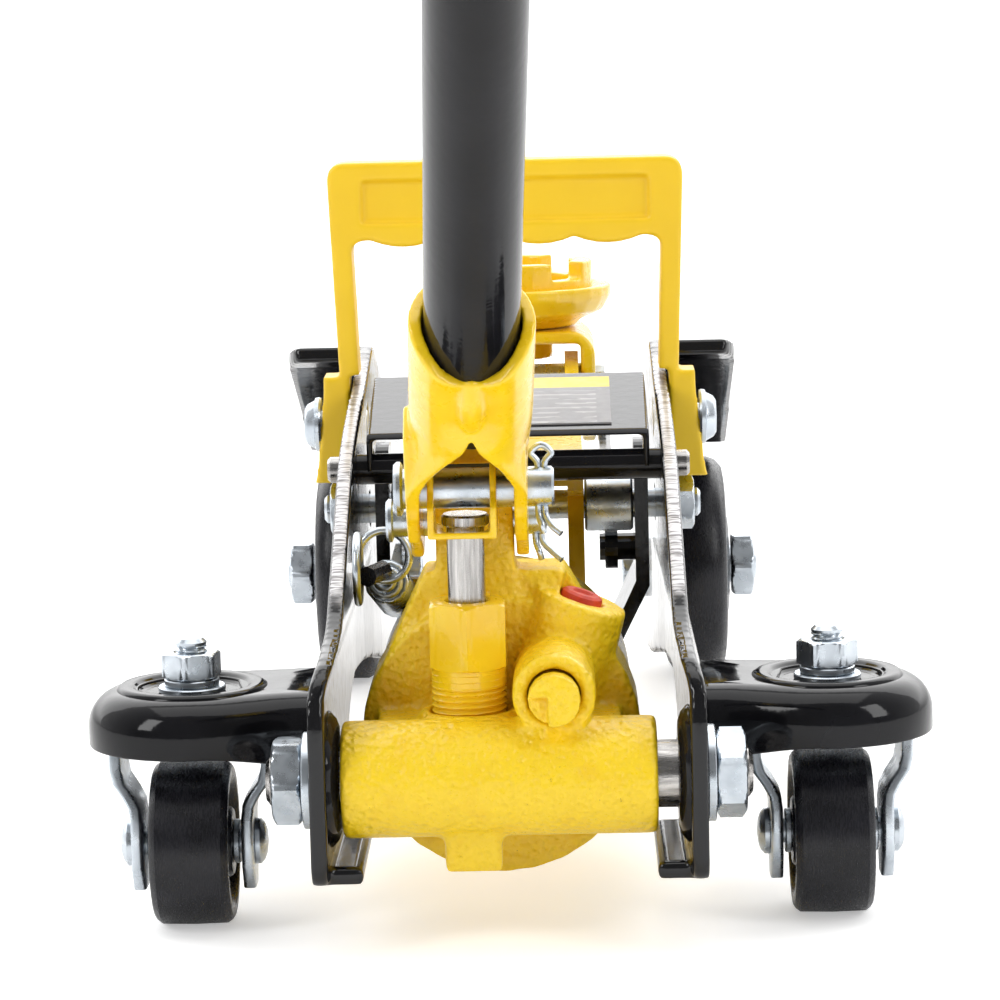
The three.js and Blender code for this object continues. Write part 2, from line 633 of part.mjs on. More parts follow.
function releaseValve() {
  const head = barY(VALVE.screwRadius, -14, VALVE.bossFace - GAP, VALVE.x, VALVE.z, ROUND);
  const stem = barY(5.4, -9, 5.4, VALVE.x, VALVE.z, SMALL);
  const flat = box(VALVE.x - 10, VALVE.x - 1.5, -20, -10.5, VALVE.z - 10, VALVE.z + 1);
  return join(cut(head, flat), stem);
}

function fulcrumPin() {
  const pin = barX(FULCRUM.radius, FULCRUM.left, FULCRUM.right, FULCRUM.y, FULCRUM.z, SMALL);
  const head = barX(5.3, FULCRUM.left, FULCRUM.left + 1.8, FULCRUM.y, FULCRUM.z, SMALL);
  return cut(join(pin, head), barZ(1.5, 80, 110, 8, FULCRUM.y, TINY));
}

function cotter(x, y, z, reach) {
  const route = [[x, y, z + reach], [x, y, z], [x + 0.3, y - 0.5, z - reach], [x + 2.5, y - 3, z - reach - 3]];
  return wire(route, 1.1, 6);
}

// ---------------------------------------------------------------- handle, drawn about its own axis

function leanLocal(y, z) {
  const lean = THREE.MathUtils.degToRad(HANDLE.lean);
  const [dy, dz] = [y - HANDLE.y, z - HANDLE.z];
  return [dy * Math.cos(lean) + dz * Math.sin(lean), -dy * Math.sin(lean) + dz * Math.cos(lean)];
}

// Turns a piece drawn about the handle's axis by the handle's sideways tip.
function tipped(body) {
  return body.rotate([0, HANDLE.tip, 0]);
}

function handleYoke() {
  const { outer, inner, foot } = SOCKET;
  const socket = tipped(barZ(outer, foot - 1, HANDLE.rim, 0, 0, FINE));
  const web = barZ(outer, 14, foot, 0, 0, FINE).intersect(box(-20, 20, 0, 20, 0, 50));
  const [fy, fz] = leanLocal(FULCRUM.y, FULCRUM.z);
  const [py, pz] = leanLocal(PISTON_PIN.y, PISTON_PIN.z);
  const ear = new THREE.Shape();
  ear.absarc(fy, fz, EAR.pinRing, Math.PI, 0, false);
  ear.lineTo(12.3, 12.6);
  ear.lineTo(12.3, foot + 0.4);
  ear.lineTo(-7, foot + 0.4);
  ear.bezierCurveTo(-9, 34, -14, 28, py - EAR.pinRing, pz);
  const ears = prismX(ear, -EAR.outer, EAR.outer);
  const solidYoke = join(socket, web, ears);
  const between = join(
    tipped(barZ(inner, 5, HANDLE.rim + 5, 0, 0, FINE)),
    box(-EAR.outer + EAR.thickness, EAR.outer - EAR.thickness, -40, 3.7, -40, foot - 2.3),
    box(-EAR.outer + EAR.thickness, EAR.outer - EAR.thickness, -40, 40, -40, 13.4));
  return cut(solidYoke, between,
    barX(FULCRUM.radius + GAP, -20, 20, fy, fz, SMALL),
    barX(PISTON_PIN.radius + 0.02, -20, 20, py, pz, SMALL));
}

function pistonPin() {
  const { y, z, radius, left, right } = PISTON_PIN;
  const head = barX(6.5, left, left + 2.2, y, z, ROUND);
  return cut(join(barX(radius - 0.2, left, right, y, z, SMALL), head), barZ(1.5, z - 10, z + 10, 9, y, TINY));
}

function handleTube() {
  const tube = barZ(HANDLE.tubeRadius, HANDLE.tubeFoot, HANDLE.length, 0, 0, FINE);
  const bore = barZ(HANDLE.tubeRadius - HANDLE.tubeWall, HANDLE.tubeFoot - 5, HANDLE.length - 2, 0, 0, FINE);
  return tipped(cut(tube, bore));
}

function handleGrip() {
  const sleeve = barZ(HANDLE.gripRadius, HANDLE.gripFoot, HANDLE.length + 3, 0, 0, FINE);
  const bore = barZ(HANDLE.tubeRadius + GAP, HANDLE.gripFoot - 15, HANDLE.length + GAP, 0, 0, FINE);
  return tipped(cut(sleeve, bore));
}

// ---------------------------------------------------------------- lift arm, saddle and linkage

function liftArm() {
  const wall = new THREE.Shape();
  wall.moveTo(PIVOT.y - 13, PIVOT.z + 4);
  wall.lineTo(RAM_PIN.y - 10, RAM_PIN.z + 2);
  wall.absarc(RAM_PIN.y, RAM_PIN.z, 10, Math.PI * 0.95, Math.PI * 1.85, false);
  wall.lineTo(160, 71);
  wall.lineTo(200, 73);
  wall.lineTo(ARM_END.y, ARM_END.z - 9);
  wall.absarc(ARM_END.y, ARM_END.z, 9, -Math.PI / 2, Math.PI * 0.6, false);
  wall.lineTo(300, 99);
  wall.lineTo(126, 95.5);
  wall.lineTo(126, 90);
  const walls = prismX(wall, -ARM.outer, ARM.outer);
  const below = outline([[100, 20], [345, 20], [360, 130], [300.5, 130], [300.5, 99 - ARM.webThickness],
    [110, 91]]);
  const channel = cut(walls, prismX(below, -ARM.inner, ARM.inner));
  const post = join(
    barX(3, -ARM.outer - 15, -ARM.outer + 0.5, SPRING.hookY, SPRING.postZ, SMALL),
    barX(4.4, -ARM.outer - 15, -ARM.outer - 13.6, SPRING.hookY, SPRING.postZ, SMALL));
  return cut(channel.add(post),
    barX(PIVOT.boltRadius + GAP, -25, 25, PIVOT.y, PIVOT.z, SMALL),
    barX(RAM_PIN.radius + GAP, -25, 25, RAM_PIN.y, RAM_PIN.z, SMALL),
    barX(5 + GAP, -25, 25, ARM_END.y, ARM_END.z, SMALL));
}

function ramPin() {
  return barX(RAM_PIN.radius, -ARM.outer - 2, ARM.outer + 2, RAM_PIN.y, RAM_PIN.z, SMALL);
}

function ramRod() {
  const { x, z, ramRadius } = UNIT;
  const block = box(x - 11, x + 11, 113, 141.5, 33, 59);
  const slot = join(box(x - 20, x + 20, 121.6, 135.2, 40.6, 47.6),
    barX(6.8, x - 20, x + 20, RAM_PIN.y, 40.6, SMALL), barX(6.8, x - 20, x + 20, RAM_PIN.y, 48, SMALL));
  return join(barY(ramRadius, 62, 114, x, z, FINE), cut(block, slot));
}

function saddleCarrier() {
  const { y, carrierTop, carrierWidth, carrierWall } = SADDLE;
  const arch = new THREE.Shape();
  arch.moveTo(-carrierWidth, 70);
  arch.lineTo(carrierWidth, 70);
  arch.lineTo(carrierWidth, carrierTop - 8);
  arch.absarc(carrierWidth - 8, carrierTop - 8, 8, 0, Math.PI / 2, false);
  arch.lineTo(-carrierWidth + 8, carrierTop);
  arch.absarc(-carrierWidth + 8, carrierTop - 8, 8, Math.PI / 2, Math.PI, false);
  const profile = new THREE.Shape();
  profile.moveTo(324, 92);
  profile.lineTo(338, 78);
  profile.absarc(ARM_END.y + LINK.dy, ARM_END.z + LINK.dz, 8, -Math.PI * 0.75, 0, false);
  profile.lineTo(366, 106);
  profile.lineTo(366, carrierTop);
  profile.lineTo(320, carrierTop);
  profile.lineTo(320, 100);
  const body = prismY(arch, 310, 370, 6).intersect(prismX(profile, -40, 40));
  const hollow = box(-carrierWidth + carrierWall, carrierWidth - carrierWall, 300, 380, 60, carrierTop - 4);
  const boss = barZ(11.6, 103.4, carrierTop - 2, 0, y, ROUND);
  const stud = barX(3.8, carrierWidth - 2, LINK.outer + 1.2, ARM_END.y + LINK.dy, ARM_END.z + LINK.dz, SMALL);
  return cut(join(cut(body, hollow), boss, stud),
    barX(5 + GAP, -40, 40, ARM_END.y, ARM_END.z, SMALL),
    barZ(8 + GAP, 90, 130, 0, y, ROUND));
}

function carrierPin() {
  const reach = SADDLE.carrierWidth;
  return join(barX(5, -reach - 3, reach + 3, ARM_END.y, ARM_END.z, SMALL),
    barX(8, -reach - 4, -reach - GAP, ARM_END.y, ARM_END.z, SMALL));
}

function saddle() {
  const bowl = lathe([[0, 105], [7.8, 105], [7.8, 113.9], [19, 113.9], [21, 116], [28, 119], [30.5, 123.5], [30.5, 127],
    [28.6, 127.4], [24.6, 123.4], [24.6, SADDLE.top], [18.6, SADDLE.top], [18.6, 124], [0, 124]], FINE);
  const geometry = geometryOf(bowl);
  geometry.rotateX(Math.PI / 2);
  const cup = solid(geometry);
  const notches = [];
  const count = 4;
  for (let i = 0; i < count / 2; i += 1) {
    const slot = new THREE.BoxGeometry(70, 13, 9);
    slot.translate(0, 0, SADDLE.top - 1);
    slot.rotateZ((Math.PI * (2 * i + 1)) / count);
    notches.push(solid(slot));
  }
  return cut(cup, ...notches);
}

function levelLink() {
  const from = [PIVOT.y + LINK.dy, PIVOT.z + LINK.dz];
  const to = [ARM_END.y + LINK.dy, ARM_END.z + LINK.dz];
  const along = Math.atan2(to[1] - from[1], to[0] - from[0]);
  const shape = new THREE.Shape();
  shape.absarc(from[0], from[1], LINK.radius, along + Math.PI / 2, along + 1.5 * Math.PI, false);
  shape.absarc(to[0], to[1], LINK.radius, along - Math.PI / 2, along + Math.PI / 2, false);
  return cut(prismX(shape, LINK.inner, LINK.outer),
    barX(3.8 + GAP, 20, 40, from[0], from[1], SMALL),
    barX(3.8 + GAP, 20, 40, to[0], to[1], SMALL));
}

// ---------------------------------------------------------------- return spring

function returnSpring() {
  const rear = [SPRING.x, SPRING.rearY, SPRING.rearZ];
  const front = [SPRING.x, SPRING.hookY - 9, SPRING.hookZ + 1.5];
  return bar(rear, front, SPRING.radius, SMALL);
}

function ringX(radius, wireRadius) {
  return solid(new THREE.TorusGeometry(radius, wireRadius, 6, 18).rotateY(Math.PI / 2));
}

function cableTie() {
  return bar([-35, 49, 80.5], [-31.5, 58.4, 80.5], 2.6, TINY);
}

// ---------------------------------------------------------------- assembly

const jack = new THREE.Group();

function place(parent, name, body, look, x = 0, y = 0, z = 0) {
  const mesh = new THREE.Mesh(geometryOf(body), look);
  mesh.name = name;
  mesh.position.set(x, y, z);
  parent.add(mesh);
}

const SIDES = [['left', -1], ['right', 1]];

function addChassis() {
  const chassis = new THREE.Group();
  jack.add(chassis);
  const pivotNutX = plateOuter(PIVOT.y, PIVOT.z) + GAP;
  for (const [label, side] of SIDES) {
    place(chassis, `side_plate_${label}`, sidePlate(side), BLACK_PAINT);
    place(chassis, `caster_arm_${label}`, casterArm(side), BLACK_PAINT);
    const turn = side > 0 ? 0 : Math.PI / 6;
    place(chassis, `cross_shaft_nut_${label}`, pick(side, nut(19, CROSS.nutEnd - CROSS.nutStart, 6.4, turn)),
      ZINC, side * CROSS.nutStart, 0, CROSS.z);
    place(chassis, `pivot_nut_${label}`, pick(side, nut(PIVOT.nutWidth, 6.4, 5.4, 0)), ZINC,
      side * pivotNutX, PIVOT.y, PIVOT.z);
    place(chassis, `pivot_sleeve_${label}`, pivotSleeve(side), ZINC);
    place(chassis, `pivot_bracket_${label}`, pivotBracket(side), BLACK_PAINT);
    place(chassis, `carry_handle_bolt_${label}`, carryBolt(side), ZINC);
  }
  place(chassis, 'cross_shaft', crossShaft(), BARE_STEEL);
  place(chassis, 'tie_rod', tieRod(), BARE_STEEL);
  place(chassis, 'pivot_bolt', pivotBolt(), ZINC);
  place(chassis, 'cover_plate', coverPlate(), BLACK_PAINT);
  place(chassis, 'label_plate', labelPlate(), LABEL);
  place(chassis, 'carry_handle', carryHandle(), YELLOW_PLASTIC);
}

function addPowerUnit() {
  const unit = new THREE.Group();
  jack.add(unit);
  place(unit, 'power_unit_casting', powerUnitCasting(), CAST_YELLOW);
  place(unit, 'reservoir_tube', reservoirTube(), YELLOW_PAINT);
  place(unit, 'reservoir_cap', reservoirCap(), YELLOW_PAINT);
  place(unit, 'pump_barrel', pumpBarrel(), YELLOW_PAINT);
  place(unit, 'pump_piston', pumpPiston(), BARE_STEEL);
  place(unit, 'piston_bracket', pistonBracket(), YELLOW_PAINT);
  place(unit, 'release_valve', releaseValve(), CAST_YELLOW);
  place(unit, 'filler_plug', fillerPlug(), RED_RUBBER);
  place(unit, 'fulcrum_pin', fulcrumPin(), ZINC);
  place(unit, 'fulcrum_cotter', cotter(8, FULCRUM.y, FULCRUM.z, 6.5), ZINC);
  place(unit, 'ram_rod', ramRod(), BARE_STEEL);
}

function addHandle() {
  const handle = new THREE.Group();
  handle.position.set(HANDLE.x, HANDLE.y, HANDLE.z);
  handle.rotation.x = THREE.MathUtils.degToRad(HANDLE.lean);
  jack.add(handle);
  place(handle, 'handle_yoke', handleYoke(), YELLOW_PAINT);
  place(handle, 'handle_tube', handleTube(), BLACK_PAINT);
  place(handle, 'handle_grip', handleGrip(), BLACK_RUBBER);
  place(jack, 'piston_pin', pistonPin(), ZINC);
  place(jack, 'piston_cotter', cotter(9, PISTON_PIN.y, PISTON_PIN.z, 7.5), ZINC);
}

function addLift() {
  const lift = new THREE.Group();
  jack.add(lift);
  place(lift, 'lift_arm', liftArm(), YELLOW_PAINT);
  place(lift, 'ram_pin', ramPin(), BARE_STEEL);
  place(lift, 'saddle_carrier', saddleCarrier(), YELLOW_PAINT);
  place(lift, 'carrier_pin', carrierPin(), ZINC);
  place(lift, 'saddle', saddle(), YELLOW_PAINT, 0, SADDLE.y, 0);
  place(lift, 'level_link', levelLink(), BLACK_PAINT);
  place(lift, 'return_spring', returnSpring(), ZINC);
  place(lift, 'spring_hook', ringX(6.2, 1), ZINC, SPRING.x, SPRING.hookY, SPRING.hookZ);
  place(lift, 'spring_eye', ringX(8.3, 1), ZINC, -37, 46, 83);
  place(lift, 'cable_tie', cableTie(), BLACK_PLASTIC);
}

function addRollers() {
  const frontNutX = FRONT_WHEEL.outer + 0.7;
  for (const [label, side] of SIDES) {
    const { y, z } = FRONT_AXLE;
    place(jack, `front_wheel_${label}`, frontWheel(side), BLACK_PAINT, 0, y, z);
    place(jack, `front_axle_${label}`, frontAxle(side), ZINC, 0, y, z);
    place(jack, `front_axle_nut_${label}`, pick(side, nut(19, 7.4, 6.4, 0)), ZINC, side * frontNutX, y, z);
    place(jack, `caster_bolt_${label}`, casterBolt(side), ZINC);
    place(jack, `caster_fork_${label}`, casterFork(), ZINC, side * CASTER.x, 0, 0);
    const wheelCentre = [side * CASTER.x, CASTER.wheelY, CASTER.wheelRadius];
    place(jack, `caster_axle_${label}`, casterAxle(), ZINC, ...wheelCentre);
    const tyre = geometryOf(casterWheel());
    tyre.rotateZ(Math.PI / 2);
    place(jack, `caster_wheel_${label}`, solid(tyre), BLACK_PLASTIC, ...wheelCentre);
  }
}

addChassis();
addPowerUnit();
addHandle();
addLift();
addRollers();

export default jack;
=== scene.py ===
"""Looks of the hydraulic trolley jack: camera, light, materials and finely shaped pieces."""

import json
import math
import random

import bmesh
import bpy
from mathutils import Matrix, Vector


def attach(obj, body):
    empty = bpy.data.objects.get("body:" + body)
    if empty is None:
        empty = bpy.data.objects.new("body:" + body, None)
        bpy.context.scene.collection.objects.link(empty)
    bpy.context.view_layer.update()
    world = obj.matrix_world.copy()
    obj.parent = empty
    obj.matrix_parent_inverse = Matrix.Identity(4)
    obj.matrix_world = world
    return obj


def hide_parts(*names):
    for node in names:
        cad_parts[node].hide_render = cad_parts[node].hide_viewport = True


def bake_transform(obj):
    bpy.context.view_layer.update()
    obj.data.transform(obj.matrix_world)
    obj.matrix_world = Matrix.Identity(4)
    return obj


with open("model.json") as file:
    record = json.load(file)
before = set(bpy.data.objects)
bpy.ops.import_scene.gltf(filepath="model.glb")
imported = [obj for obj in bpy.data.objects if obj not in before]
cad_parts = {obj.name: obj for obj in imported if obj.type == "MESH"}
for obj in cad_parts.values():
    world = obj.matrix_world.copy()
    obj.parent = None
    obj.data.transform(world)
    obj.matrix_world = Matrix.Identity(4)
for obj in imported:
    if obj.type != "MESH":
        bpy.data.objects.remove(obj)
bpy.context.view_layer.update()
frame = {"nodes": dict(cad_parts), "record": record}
NODES = frame["nodes"]
SUBPARTS = frame["record"]["subparts"]
SLOT_OF = {part["node"]: part["material_slot"] for part in SUBPARTS}
BODIES = frame["record"]["behaviour"]["bodies"]
BODY_OF = {node: body for body, members in BODIES.items() for node in members}
MM = 0.001
SIDES = (("left", -1), ("right", 1))


# ------------------------------------------------------------------ camera, floor and light

CAMERA_AT = Vector((15.0, -871.8, 231.6)) * MM
CAMERA_YAW = 1.03
CAMERA_PITCH = -8.19
CAMERA_ROLL = -1.36
CAMERA_LENS = 135.4
FLOOR_SIZE = 6.0
FLOOR_BEND_START = 2.0
FLOOR_BEND = 1.5
BEND_STEPS = 12
SWEEP_GLOW = {"From Min": 0.1, "From Max": 1.2, "To Min": 0.12, "To Max": 2.4}
SWEEP_GLOW_SEEN = 0.42
WORLD_SHADE = {"From Min": -0.5, "From Max": 0.5, "To Min": 0.22, "To Max": 1.0}
LIGHT_AIM = (0, 0.05, 0.08)
LIGHTS = (  # name, place, aim, width, height, watts
    ("key_left", (-1.5, -1.1, 1.3), LIGHT_AIM, 0.6, 1.3, 17),
    ("key_right", (1.5, -0.9, 1.1), LIGHT_AIM, 0.6, 1.3, 13),
    ("overhead", (0, 0.1, 1.7), (0, 0.1, 0.05), 1.6, 1.2, 9),
)


def add_camera():
    camera = bpy.data.objects.new("camera", bpy.data.cameras.new("camera"))
    bpy.context.scene.collection.objects.link(camera)
    turn = (Matrix.Rotation(math.radians(CAMERA_YAW), 4, "Z")
            @ Matrix.Rotation(math.radians(90 + CAMERA_PITCH), 4, "X")
            @ Matrix.Rotation(math.radians(CAMERA_ROLL), 4, "Z"))
    camera.matrix_world = Matrix.Translation(CAMERA_AT) @ turn
    camera.data.lens = CAMERA_LENS
    camera.data.sensor_width = 36.0
    camera.data.clip_end = 50.0
    bpy.context.scene.camera = camera


def set_inputs(node, values):
    for name, value in values.items():
        node.inputs[name].default_value = value


def floor_white():
    """White; it glows more with height, and evenly enough to the camera to hide its own edge."""
    look = bpy.data.materials.new("floor_white")
    look.use_nodes = True
    tree = look.node_tree
    shader = tree.nodes["Principled BSDF"]
    white = (1, 1, 1, 1)
    set_inputs(shader, {"Base Color": (0.9, 0.9, 0.9, 1), "Roughness": 0.8, "Emission Color": white})
    axes = tree.nodes.new("ShaderNodeSeparateXYZ")
    tree.links.new(tree.nodes.new("ShaderNodeTexCoord").outputs["Object"], axes.inputs["Vector"])
    glow = tree.nodes.new("ShaderNodeMapRange")
    set_inputs(glow, SWEEP_GLOW)
    tree.links.new(axes.outputs["Z"], glow.inputs["Value"])
    seen_glow = tree.nodes.new("ShaderNodeMath")
    seen_glow.operation = "MULTIPLY"
    seen_glow.inputs[1].default_value = SWEEP_GLOW_SEEN
    light_path = tree.nodes.new("ShaderNodeLightPath")
    tree.links.new(light_path.outputs["Is Camera Ray"], seen_glow.inputs[0])
    strength = tree.nodes.new("ShaderNodeMath")
    strength.operation = "MAXIMUM"
    tree.links.new(glow.outputs["Result"], strength.inputs[0])
    tree.links.new(seen_glow.outputs["Value"], strength.inputs[1])
    tree.links.new(strength.outputs["Value"], shader.inputs["Emission Strength"])
    return look


def add_floor():
    """A pale sweep: flat under the jack, curving up far behind it."""
    rows = [(-FLOOR_SIZE, 0.0), (FLOOR_BEND_START, 0.0)]
    for k in range(1, BEND_STEPS + 1):
        angle = math.pi / 2 * k / BEND_STEPS
        rise = FLOOR_BEND * (1 - math.cos(angle))
        rows.append((FLOOR_BEND_START + FLOOR_BEND * math.sin(angle), rise))
    rows.append((FLOOR_BEND_START + FLOOR_BEND, FLOOR_SIZE))
    points = [(x, y, z) for y, z in rows for x in (-FLOOR_SIZE, FLOOR_SIZE)]
    faces = [(2 * i, 2 * i + 1, 2 * i + 3, 2 * i + 2) for i in range(len(rows) - 1)]
    mesh = bpy.data.meshes.new("floor")
    mesh.from_pydata(points, [], faces)
    mesh.polygons.foreach_set("use_smooth", [True] * len(faces))
    mesh.materials.append(floor_white())
    floor = bpy.data.objects.new("floor", mesh)
    bpy.context.scene.collection.objects.link(floor)


def add_area_light(name, at, aim, size, size_y, watts):
    data = bpy.data.lights.new(name, "AREA")
    data.shape = "RECTANGLE"
    data.size = size
    data.size_y = size_y
    data.energy = watts
    light = bpy.data.objects.new(name, data)
    bpy.context.scene.collection.objects.link(light)
    light.location = at
    light.rotation_euler = (Vector(aim) - Vector(at)).to_track_quat("-Z", "Y").to_euler()


def add_world():
    """White to the camera; its light is weakest from behind the camera and strongest from ahead."""
    world = bpy.data.worlds.new("studio")
    bpy.context.scene.world = world
    world.use_nodes = True
    tree = world.node_tree
    place = tree.nodes.new("ShaderNodeTexCoord")
    axes = tree.nodes.new("ShaderNodeSeparateXYZ")
    tree.links.new(place.outputs["Generated"], axes.inputs["Vector"])
    shade = tree.nodes.new("ShaderNodeMapRange")
    tree.links.new(axes.outputs["Y"], shade.inputs["Value"])
    set_inputs(shade, WORLD_SHADE)
    seen = tree.nodes.new("ShaderNodeLightPath")
    strength = tree.nodes.new("ShaderNodeMath")
    strength.operation = "MAXIMUM"
    tree.links.new(shade.outputs["Result"], strength.inputs[0])
    tree.links.new(seen.outputs["Is Camera Ray"], strength.inputs[1])
    background = tree.nodes["Background"]
    background.inputs["Color"].default_value = (1, 1, 1, 1)
    tree.links.new(strength.outputs["Value"], background.inputs["Strength"])


def add_lights():
    add_world()
    for light in LIGHTS:
        add_area_light(*light)
    bpy.context.scene.view_settings.view_transform = "Standard"


# ------------------------------------------------------------------ materials

class Finish:
    """A Principled material with short calls for the procedural nodes that drive it."""

    def __init__(self, name, metallic=0.0, coat=0.0, coat_roughness=0.05):
        self.material = bpy.data.materials.new(name)
        self.material.use_nodes = True
        self.tree = self.material.node_tree
        self.shader = self.tree.nodes["Principled BSDF"]
        self.shader.inputs["Metallic"].default_value = metallic
        self.shader.inputs["Coat Weight"].default_value = coat
        self.shader.inputs["Coat Roughness"].default_value = coat_roughness
        self.place = self.node("ShaderNodeTexCoord").outputs["Object"]

    def node(self, kind, **settings):
        made = self.tree.nodes.new(kind)
        for key, value in settings.items():
            setattr(made, key, value)
        return made

    def link(self, source, target):
        self.tree.links.new(source, target)

    def stretched(self, scale):
        mapping = self.node("ShaderNodeMapping")
        mapping.inputs["Scale"].default_value = scale
        self.link(self.place, mapping.inputs["Vector"])
        return mapping.outputs["Vector"]

    def noise(self, scale, detail=3.0, roughness=0.55, stretch=(1, 1, 1)):
        noise = self.node("ShaderNodeTexNoise")
        set_inputs(noise, {"Scale": scale, "Detail": detail, "Roughness": roughness})
        self.link(self.stretched(stretch), noise.inputs["Vector"])
        return noise.outputs["Fac"]

    def cells(self, scale):
        cells = self.node("ShaderNodeTexVoronoi", feature="SMOOTH_F1")
        cells.inputs["Scale"].default_value = scale
        self.link(self.place, cells.inputs["Vector"])
        return cells.outputs["Distance"]

    def ramp(self, source, low, high, at=(0.35, 0.65)):
        """A value or colour that goes from low to high as source passes the two places."""
        ramp = self.node("ShaderNodeValToRGB")
        low_end, high_end = ramp.color_ramp.elements
        low_end.position, high_end.position = at
        low_end.color = low if isinstance(low, tuple) else (low, low, low, 1)
        high_end.color = high if isinstance(high, tuple) else (high, high, high, 1)
        self.link(source, ramp.inputs["Fac"])
        return ramp.outputs["Color"]

    def math(self, operation, first, second=0.0):
        made = self.node("ShaderNodeMath", operation=operation)
        for socket, value in zip(made.inputs, (first, second)):
            if isinstance(value, (int, float)):
                socket.default_value = value
            else:
                self.link(value, socket)
        return made.outputs["Value"]

    def limits(self, source, start, end):
        """0 where source is at start, 1 where it is at end, smooth between."""
        made = self.node("ShaderNodeMapRange", interpolation_type="SMOOTHSTEP")
        set_inputs(made, {"From Min": start, "From Max": end})
        self.link(source, made.inputs["Value"])
        return made.outputs["Result"]

    def mix(self, factor, first, second):
        made = self.node("ShaderNodeMix", data_type="RGBA")
        self.link(factor, made.inputs["Factor"])
        for socket, value in ((made.inputs[6], first), (made.inputs[7], second)):
            if isinstance(value, tuple):
                socket.default_value = value
            else:
                self.link(value, socket)
        return made.outputs[2]

    def bump(self, height, depth, strength=1.0, base=None):
        made = self.node("ShaderNodeBump")
        set_inputs(made, {"Distance": depth, "Strength": strength})
        self.link(height, made.inputs["Height"])
        if base is not None:
            self.link(base, made.inputs["Normal"])
        return made.outputs["Normal"]

    def finish(self, color, roughness, normal=None):
        self.link(color, self.shader.inputs["Base Color"])
        self.link(roughness, self.shader.inputs["Roughness"])
        if normal is not None:
            self.link(normal, self.shader.inputs["Normal"])
            self.link(normal, self.shader.inputs["Coat Normal"])
        return self.material


YELLOW = (0.96, 0.660, 0.012, 1)
YELLOW_DEEP = (0.92, 0.580, 0.006, 1)
YELLOW_DARK = (0.42, 0.230, 0.006, 1)


def yellow_enamel():
    look = Finish("yellow_enamel", coat=0.5, coat_roughness=0.08)
    tint = look.ramp(look.noise(55, 2), YELLOW_DEEP, YELLOW)
    gloss = look.ramp(look.noise(260, 3), 0.24, 0.38)
    peel = look.bump(look.noise(420, 2), 0.00025, 0.35)
    return look.finish(tint, gloss, peel)


def cast_enamel():
    look = Finish("cast_enamel", coat=0.2, coat_roughness=0.2)
    grain = look.noise(1300, 4, 0.6)
    low_spots = look.ramp(look.noise(90, 4, 0.6), YELLOW_DEEP, YELLOW, (0.22, 0.48))
    specks = look.ramp(look.noise(420, 5, 0.8), 1.0, 0.0, (0.30, 0.335))
    tint = look.mix(specks, low_spots, YELLOW_DARK)
    gloss = look.ramp(grain, 0.26, 0.44)
    coarse = look.bump(look.cells(620), 0.0010, 0.6)
    rough = look.bump(look.noise(240, 3), 0.0016, 0.5, coarse)
    fine = look.bump(grain, 0.00035, 0.5, rough)
    return look.finish(tint, gloss, fine)


def yellow_plastic():
    look = Finish("yellow_moulded", coat=0.15, coat_roughness=0.2)
    tint = look.ramp(look.noise(30, 2), (0.90, 0.58, 0.010, 1), (0.95, 0.63, 0.014, 1))
    gloss = look.ramp(look.noise(900, 2), 0.36, 0.46)
    grain = look.bump(look.noise(1500, 2), 0.00008, 0.4)
    return look.finish(tint, gloss, grain)


def black_enamel(name="black_enamel"):
    look = Finish(name)
    look.shader.inputs["IOR"].default_value = 1.35
    tint = look.ramp(look.noise(40, 3), (0.004, 0.004, 0.005, 1), (0.009, 0.009, 0.011, 1))
    gloss = look.ramp(look.noise(300, 3), 0.06, 0.13)
    peel = look.bump(look.noise(300, 2), 0.00012, 0.3)
    return look.finish(tint, gloss, peel)


def plate_enamel():
    """Black enamel; the sheared top edges near the handle show bare metal with fine cross lines."""
    look = Finish("plate_enamel")
    look.shader.inputs["IOR"].default_value = 1.47
    axes = look.node("ShaderNodeSeparateXYZ")
    look.link(look.place, axes.inputs["Vector"])
    surface = look.node("ShaderNodeSeparateXYZ")
    look.link(look.node("ShaderNodeNewGeometry").outputs["Normal"], surface.inputs["Vector"])
    edge = look.limits(look.math("ABSOLUTE", surface.outputs["X"]), 0.80, 0.55)
    worn = look.math("ADD", axes.outputs["Z"], look.math("MULTIPLY", look.noise(90, 3), 0.006))
    high_up = look.limits(worn, 0.0795, 0.0835)
    near = look.limits(axes.outputs["Y"], 0.185, 0.150)
    bare = look.math("MULTIPLY", look.math("MULTIPLY", edge, high_up), near)
    lines = look.noise(1500, 2, 0.5, (0.10, 1, 1))
    steel = look.ramp(lines, (0.20, 0.19, 0.19, 1), (0.62, 0.61, 0.62, 1), (0.38, 0.56))
    tint = look.mix(bare, (0.006, 0.006, 0.007, 1), steel)
    gloss = look.mix(bare, look.ramp(look.noise(300, 3), 0.06, 0.13), look.ramp(lines, 0.30, 0.45))
    look.link(look.math("MULTIPLY", bare, 0.85), look.shader.inputs["Metallic"])
    peel = look.bump(look.noise(300, 2), 0.00012, 0.3)
    scored = look.bump(look.math("MULTIPLY", lines, bare), 0.0003, 0.6, peel)
    return look.finish(tint, gloss, scored)


def black_plastic():
    look = Finish("black_moulded")
    look.shader.inputs["Specular IOR Level"].default_value = 0.35
    tint = look.ramp(look.noise(120, 4), (0.006, 0.006, 0.008, 1), (0.014, 0.014, 0.018, 1))
    scuffs = look.ramp(look.noise(500, 5, 0.7, (6, 1, 1)), 0.20, 0.44, (0.4, 0.7))
    grain = look.bump(look.noise(900, 4, 0.7, (4, 1, 1)), 0.0002, 0.35)
    return look.finish(tint, scuffs, grain)


def grip_rubber():
    look = Finish("grip_rubber")
    tint = look.ramp(look.noise(200, 3), (0.014, 0.014, 0.014, 1), (0.028, 0.028, 0.028, 1))
    gloss = look.ramp(look.noise(700, 3), 0.62, 0.8)
    return look.finish(tint, gloss, look.bump(look.noise(1200, 3), 0.0002, 0.5))


